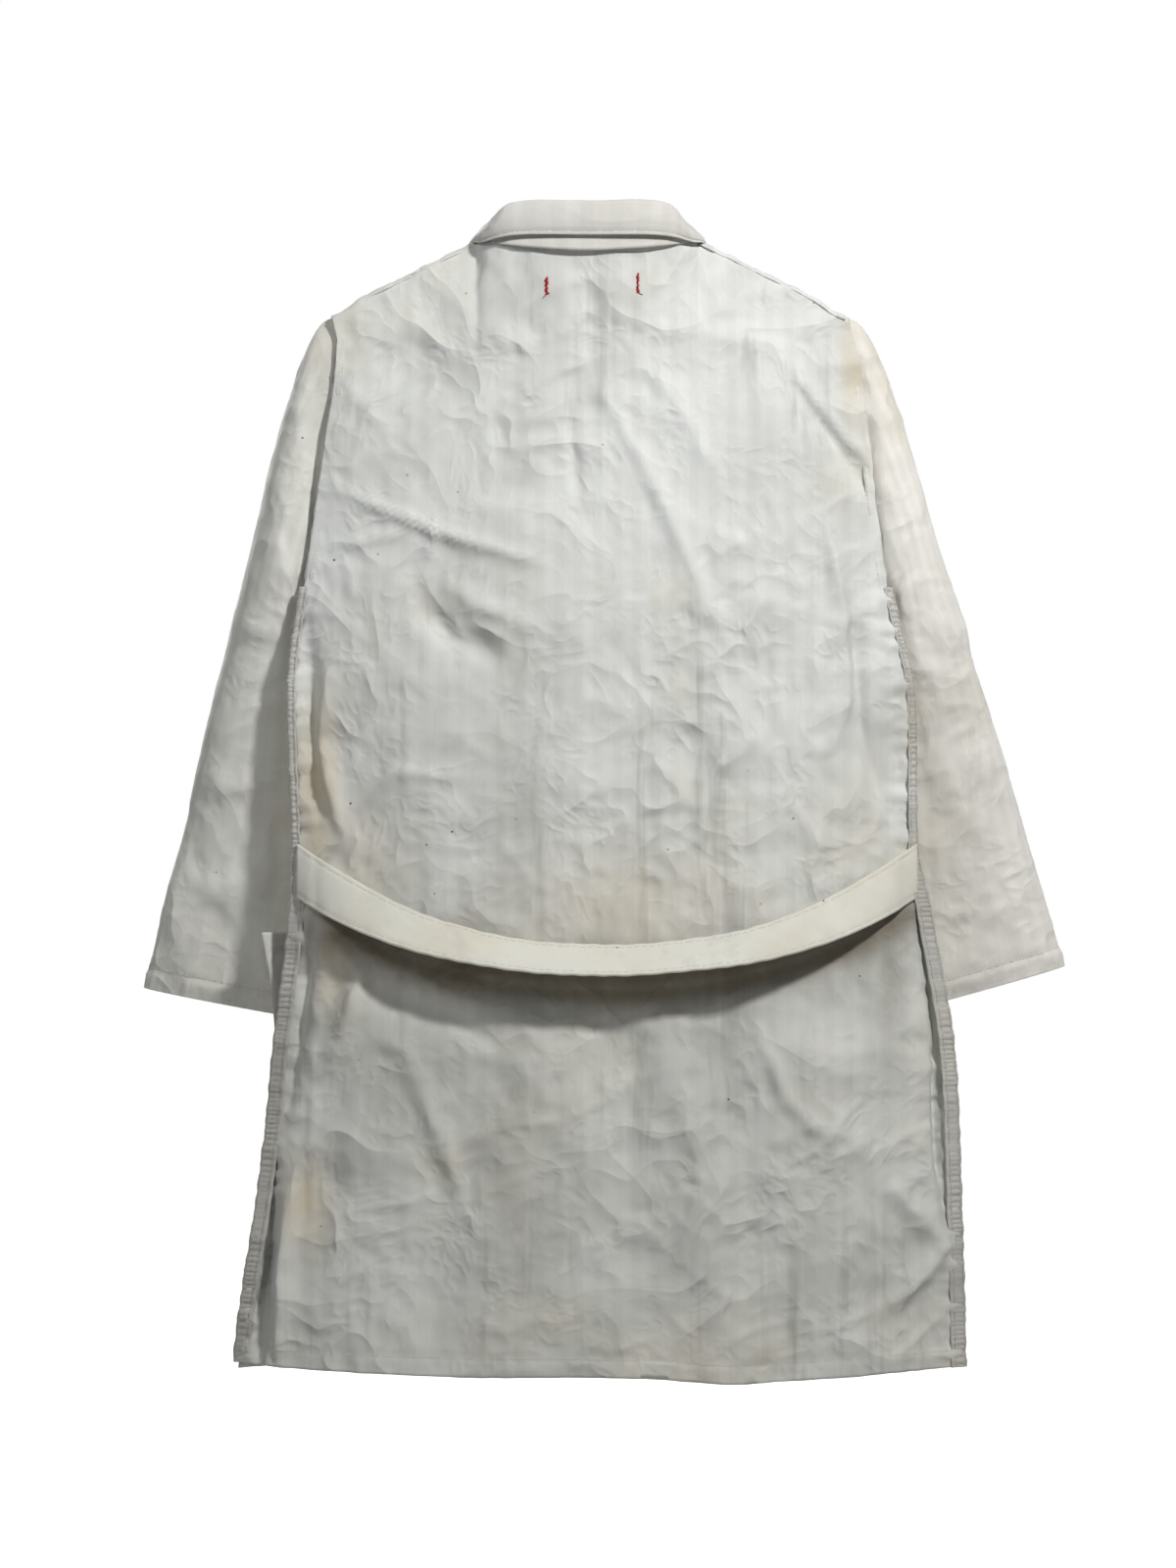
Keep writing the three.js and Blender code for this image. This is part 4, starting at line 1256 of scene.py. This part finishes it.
SLEEVE_CREASES = {
    LEFT: [([(-0.330, -0.330), (-0.300, -0.345), (-0.275, -0.340)], 0.012, 0.0030, 0.4),
           ([(-0.345, -0.470), (-0.315, -0.485), (-0.285, -0.475)], 0.011, 0.0030, 0.4),
           ([(-0.300, -0.150), (-0.290, -0.240), (-0.300, -0.330)], 0.012, -0.0040, 0.3),
           ([(-0.370, -0.560), (-0.330, -0.590), (-0.290, -0.640)], 0.014, 0.0026, 0.4)],
    RIGHT: [([(0.262, -0.150), (0.285, -0.250), (0.292, -0.330)], 0.014, -0.0050, 0.4),
            ([(0.300, -0.330), (0.330, -0.345), (0.360, -0.335)], 0.011, 0.0028, 0.4),
            ([(0.310, -0.420), (0.330, -0.500), (0.370, -0.545)], 0.013, 0.0030, 0.4),
            ([(0.295, -0.590), (0.335, -0.600), (0.400, -0.590)], 0.012, 0.0024, 0.4)],
}


def sleeve_relief(side, seed):
    def relief(u, v, x, y, z):
        behind = smoothstep(0.02, -0.02, y - np.mean(y, axis=1, keepdims=True))
        lift = np.zeros(np.shape(x))
        for path, width, height, crisp in SLEEVE_CREASES[side]:
            lift += behind * crease(x, z, path, width, height, crisp)
        lift += 0.0042 * grain(x, y, z, 0.080, seed)
        round_it = np.where(behind > 0.5, 0.05, -0.05)
        lift += 1.4 * wrinkled(x + round_it, z, seed + 5)
        lift += 0.0014 * crumple(*turned(x + round_it, z, 20, 1.8), 0.045, seed + 9)
        lift *= 0.35 + 0.65 * np.abs(np.sin(2 * np.pi * u))
        lift *= smoothstep(1.0, 0.90, v) * smoothstep(0, 0.05, v)
        above = np.hypot(x - x[:1], z - z[:1])
        return lift + hem_relief(above, 0.17 * np.cos(2 * np.pi * u), 0.018)

    return relief


CUFF_SHARE = 0.055             # share of the sleeve's length up to the cuff's stitches
for side in (LEFT, RIGHT):
    lay(f"sleeve_cloth_{side}", 116, 250, sleeve_ring(side), SLEEVE_TWILL[side], sleeve_turn(side),
        [f"sleeve_cap_{side}", f"sleeve_{side}"], sleeve_relief(side, 91 if side == LEFT else 131),
        flat=(0.34, 0.62), area=0.165, rests_on=[f"armhole_strip_{side}"], closed=True)
    inner = sleeve_ring(side, 0.0030)
    lay(f"cuff_turn_{side}", 96, 6, lambda u, v, inner=inner: inner(u, mix(0.006, CUFF_SHARE, v)),
        SLEEVE_TWILL[side], f"sleeve_{side}_body", [f"cuff_hem_{side}"], flat=(0.32, 0.018),
        thick=0.0009, closed=True)


# ---------------------------------------------------------------- buttons and buttonholes
BUTTON_RADIUS = 0.0095


def button_rim(i, centre):
    """A moulded rim round the button's face."""
    bm = bmesh.new()
    steps, round_steps = 40, 10
    middle = BUTTON_RADIUS - 0.0014
    loops = []
    for a in range(steps):
        turn = 2 * math.pi * a / steps
        ring = []
        for b in range(round_steps):
            bend = 2 * math.pi * b / round_steps
            reach = middle + 0.0012 * math.cos(bend)
            ring.append(bm.verts.new((centre.x + reach * math.cos(turn),
                                      centre.y + 0.0009 * math.sin(bend),
                                      centre.z + reach * math.sin(turn))))
        loops.append(ring)
    for a in range(steps):
        here, ahead = loops[a], loops[(a + 1) % steps]
        for b in range(round_steps):
            c = (b + 1) % round_steps
            bm.faces.new((here[b], here[c], ahead[c], ahead[b]))
    bmesh.ops.recalc_face_normals(bm, faces=bm.faces)
    held(finished(f"button_rim_{i}", bm, RESIN), f"button_{i}_body")


def thread_bar(bm, a, b, thick):
    """One smooth bar of thread from a to b."""
    along = (b - a).normalized()
    side = along.orthogonal().normalized()
    axes = (along, side, along.cross(side))
    bead(bm, (a + b) / 2, axes, ((b - a).length * 0.55, thick, thick), 2)


for i in range(1, 6):
    low, high = (Vector(corner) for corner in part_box(f"button_{i}"))
    centre = (low + high) / 2
    recolour(f"button_{i}", RESIN)
    button_rim(i, Vector((centre.x, high.y, centre.z)))
    bm = bmesh.new()
    for tilt in (-1, 1):
        for lift in (0, 0.00035):
            a = Vector((centre.x - 0.0026, high.y + 0.0003 + lift, centre.z - 0.0026 * tilt))
            b = Vector((centre.x + 0.0026, high.y + 0.0003 + lift, centre.z + 0.0026 * tilt))
            thread_bar(bm, a, b, 0.00045)
    held(finished(f"button_thread_{i}", bm, CREAM_THREAD), f"button_{i}_body")
    recolour(f"button_shank_{i}", CREAM_THREAD)
    low, high = (Vector(corner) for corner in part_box(f"buttonhole_{i}"))
    middle = (low + high) / 2
    half = (high.x - low.x) / 2 - 0.0016
    bm = bmesh.new()
    count = 44
    for k in range(count):
        turn = 2 * math.pi * k / count
        flat_x = max(-1, min(1, 1.35 * math.cos(turn)))
        at = Vector((middle.x + half * flat_x, high.y - 0.0001, middle.z + 0.0019 * math.sin(turn)))
        reach = Vector((0.4 * math.cos(turn), 0, math.sin(turn))).normalized() * 0.0011
        thread_bar(bm, at - reach, at + reach, 0.00048)
    held(finished(f"buttonhole_stitch_{i}", bm, CREAM_THREAD), "front_left_body", [f"buttonhole_{i}"])


# ---------------------------------------------------------------- stitches
def straight(cloth, a, b, lift=0.0008):
    return cloth, [a, b], lift


HEM_V = (HEM - 0.001) / 1.0
BACK_HEM_V = HEM_V / 0.7        # the back's rows lie closer near its hem
POCKET_LIFT, THICK_LIFT, BELT_LIFT = 0.0009, 0.0013, 0.0014
AROUND_POCKET = [(0.03, 1.0), (0.03, 0.03), (0.97, 0.03), (0.97, 1.0)]
AROUND_LAPEL = [(0.90, 0.03), (0.90, 0.95), (0.06, 0.95)]


def lengthwise(cloth, heights, lift):
    """One row along the cloth at each of the heights."""
    return [straight(cloth, (0.01, v), (0.99, v), lift) for v in heights]


sewn("back_hem_stitches", [straight("back_cloth", (0.02, BACK_HEM_V), (0.98, BACK_HEM_V))], "coat_body")
sewn("belt_stitches", lengthwise("belt_cloth", (0.09, 0.91), BELT_LIFT), BELT_TURN)
sewn("collar_stitches", lengthwise("collar_cloth", (0.93, 0.05), THICK_LIFT), "coat_body")
for side in (LEFT, RIGHT):
    strip = f"side_seam_strip_{side}"
    sewn(f"side_stitches_{side}", [straight(strip, (u, 0.0), (u, 1.0)) for u in (0.12, 0.52)],
         "coat_body", DULL_THREAD)
    strip = f"armhole_strip_{side}"
    sewn(f"armhole_stitches_{side}", [straight(strip, (0.12, 0.01), (0.12, 0.99))], "coat_body")
    cloth = f"front_cloth_{side}"
    sewn(f"front_stitches_{side}", [straight(cloth, (0.97, 0.02), (0.97, 0.735)),
                                    straight(cloth, (0.02, HEM_V), (0.98, HEM_V))], FRONT_TURN[side])
    cloth = f"lower_pocket_cloth_{side}"
    sewn(f"pocket_stitches_{side}", [(cloth, AROUND_POCKET, POCKET_LIFT),
                                     straight(cloth, (0.03, 0.89), (0.97, 0.89))],
         f"front_{side}_body")
    sewn(f"lapel_stitches_{side}", [(f"lapel_cloth_{side}", AROUND_LAPEL, THICK_LIFT)],
         FRONT_TURN[side])
    cloth = f"sleeve_cloth_{side}"
    sewn(f"cuff_stitches_{side}", [straight(cloth, (0.0, CUFF_SHARE), (1.0, CUFF_SHARE))],
         f"sleeve_{side}_body")
    for end in ("outer", "inner"):
        recolour(f"pocket_tack_{side}_{end}", CREAM_THREAD)
sewn("breast_pocket_stitches",
     [("breast_pocket_cloth", AROUND_POCKET, POCKET_LIFT),
      straight("breast_pocket_mouth", (0.02, 0.06), (0.98, 0.06), THICK_LIFT)], FRONT_TURN[LEFT])


# ---------------------------------------------------------------- stage, light and camera
def seen_directly(tree):
    """1 where the camera looks straight at a thing, 0 where light or a reflection meets it."""
    return tree.nodes.new("ShaderNodeLightPath").outputs["Is Camera Ray"]


def pale_floor(size, height):
    """A pale floor, evenly bright to the camera, that throws little light back up."""
    material = bpy.data.materials.new("pale floor")
    material.use_nodes = True
    tree = material.node_tree
    shader = tree.nodes["Principled BSDF"]
    shader.inputs["Base Color"].default_value = (0.55, 0.55, 0.55, 1)
    shader.inputs["Roughness"].default_value = 0.95
    shader.inputs["Emission Color"].default_value = (0.97, 0.97, 0.97, 1)
    tree.links.new(seen_directly(tree), shader.inputs["Emission Strength"])
    bm = bmesh.new()
    bmesh.ops.create_grid(bm, x_segments=1, y_segments=1, size=size / 2)
    bmesh.ops.translate(bm, verts=bm.verts, vec=(0, 0, height))
    return finished("floor", bm, material, smooth=False)


def area_light(name, spot, aim, width, height, power, colour):
    data = bpy.data.lights.new(name, "AREA")
    data.shape = "RECTANGLE"
    data.size, data.size_y = width, height
    data.energy = power
    data.color = colour
    light = placed(name, data)
    light.location = spot
    light.rotation_euler = (Vector(aim) - Vector(spot)).to_track_quat("-Z", "Y").to_euler()


pale_floor(60, -1.42)
MIDDLE = (0, 0, -0.5)
area_light("key", (1.05, -1.62, 1.02), MIDDLE, 0.20, 0.20, 48.5, (1.0, 0.99, 0.98))
area_light("fill", (-1.6, -1.6, 1.3), MIDDLE, 0.6, 0.6, 17, (0.96, 0.98, 1.0))
area_light("front key", (-1.3, 2.2, 1.3), MIDDLE, 0.8, 0.8, 88, (1.0, 0.99, 0.98))
area_light("front fill", (2.2, 1.8, 0.3), MIDDLE, 1.2, 1.2, 16, (0.96, 0.98, 1.0))
world = bpy.data.worlds.new("studio")
bpy.context.scene.world = world
world.use_nodes = True
sky = world.node_tree.nodes["Background"]
sky.inputs[0].default_value = (1, 1, 1, 1)
AMBIENT = 0.06
brightness = math_node(world.node_tree, "MAXIMUM", seen_directly(world.node_tree), AMBIENT)
world.node_tree.links.new(brightness, sky.inputs[1])

camera_data = bpy.data.cameras.new("camera")
camera_data.lens = 82.3
camera = placed("camera", camera_data)
camera.location = (0, -3.2, -0.481)
camera.rotation_euler = (math.pi / 2, 0, 0)
bpy.context.scene.camera = camera
bpy.context.scene.view_settings.view_transform = "Standard"
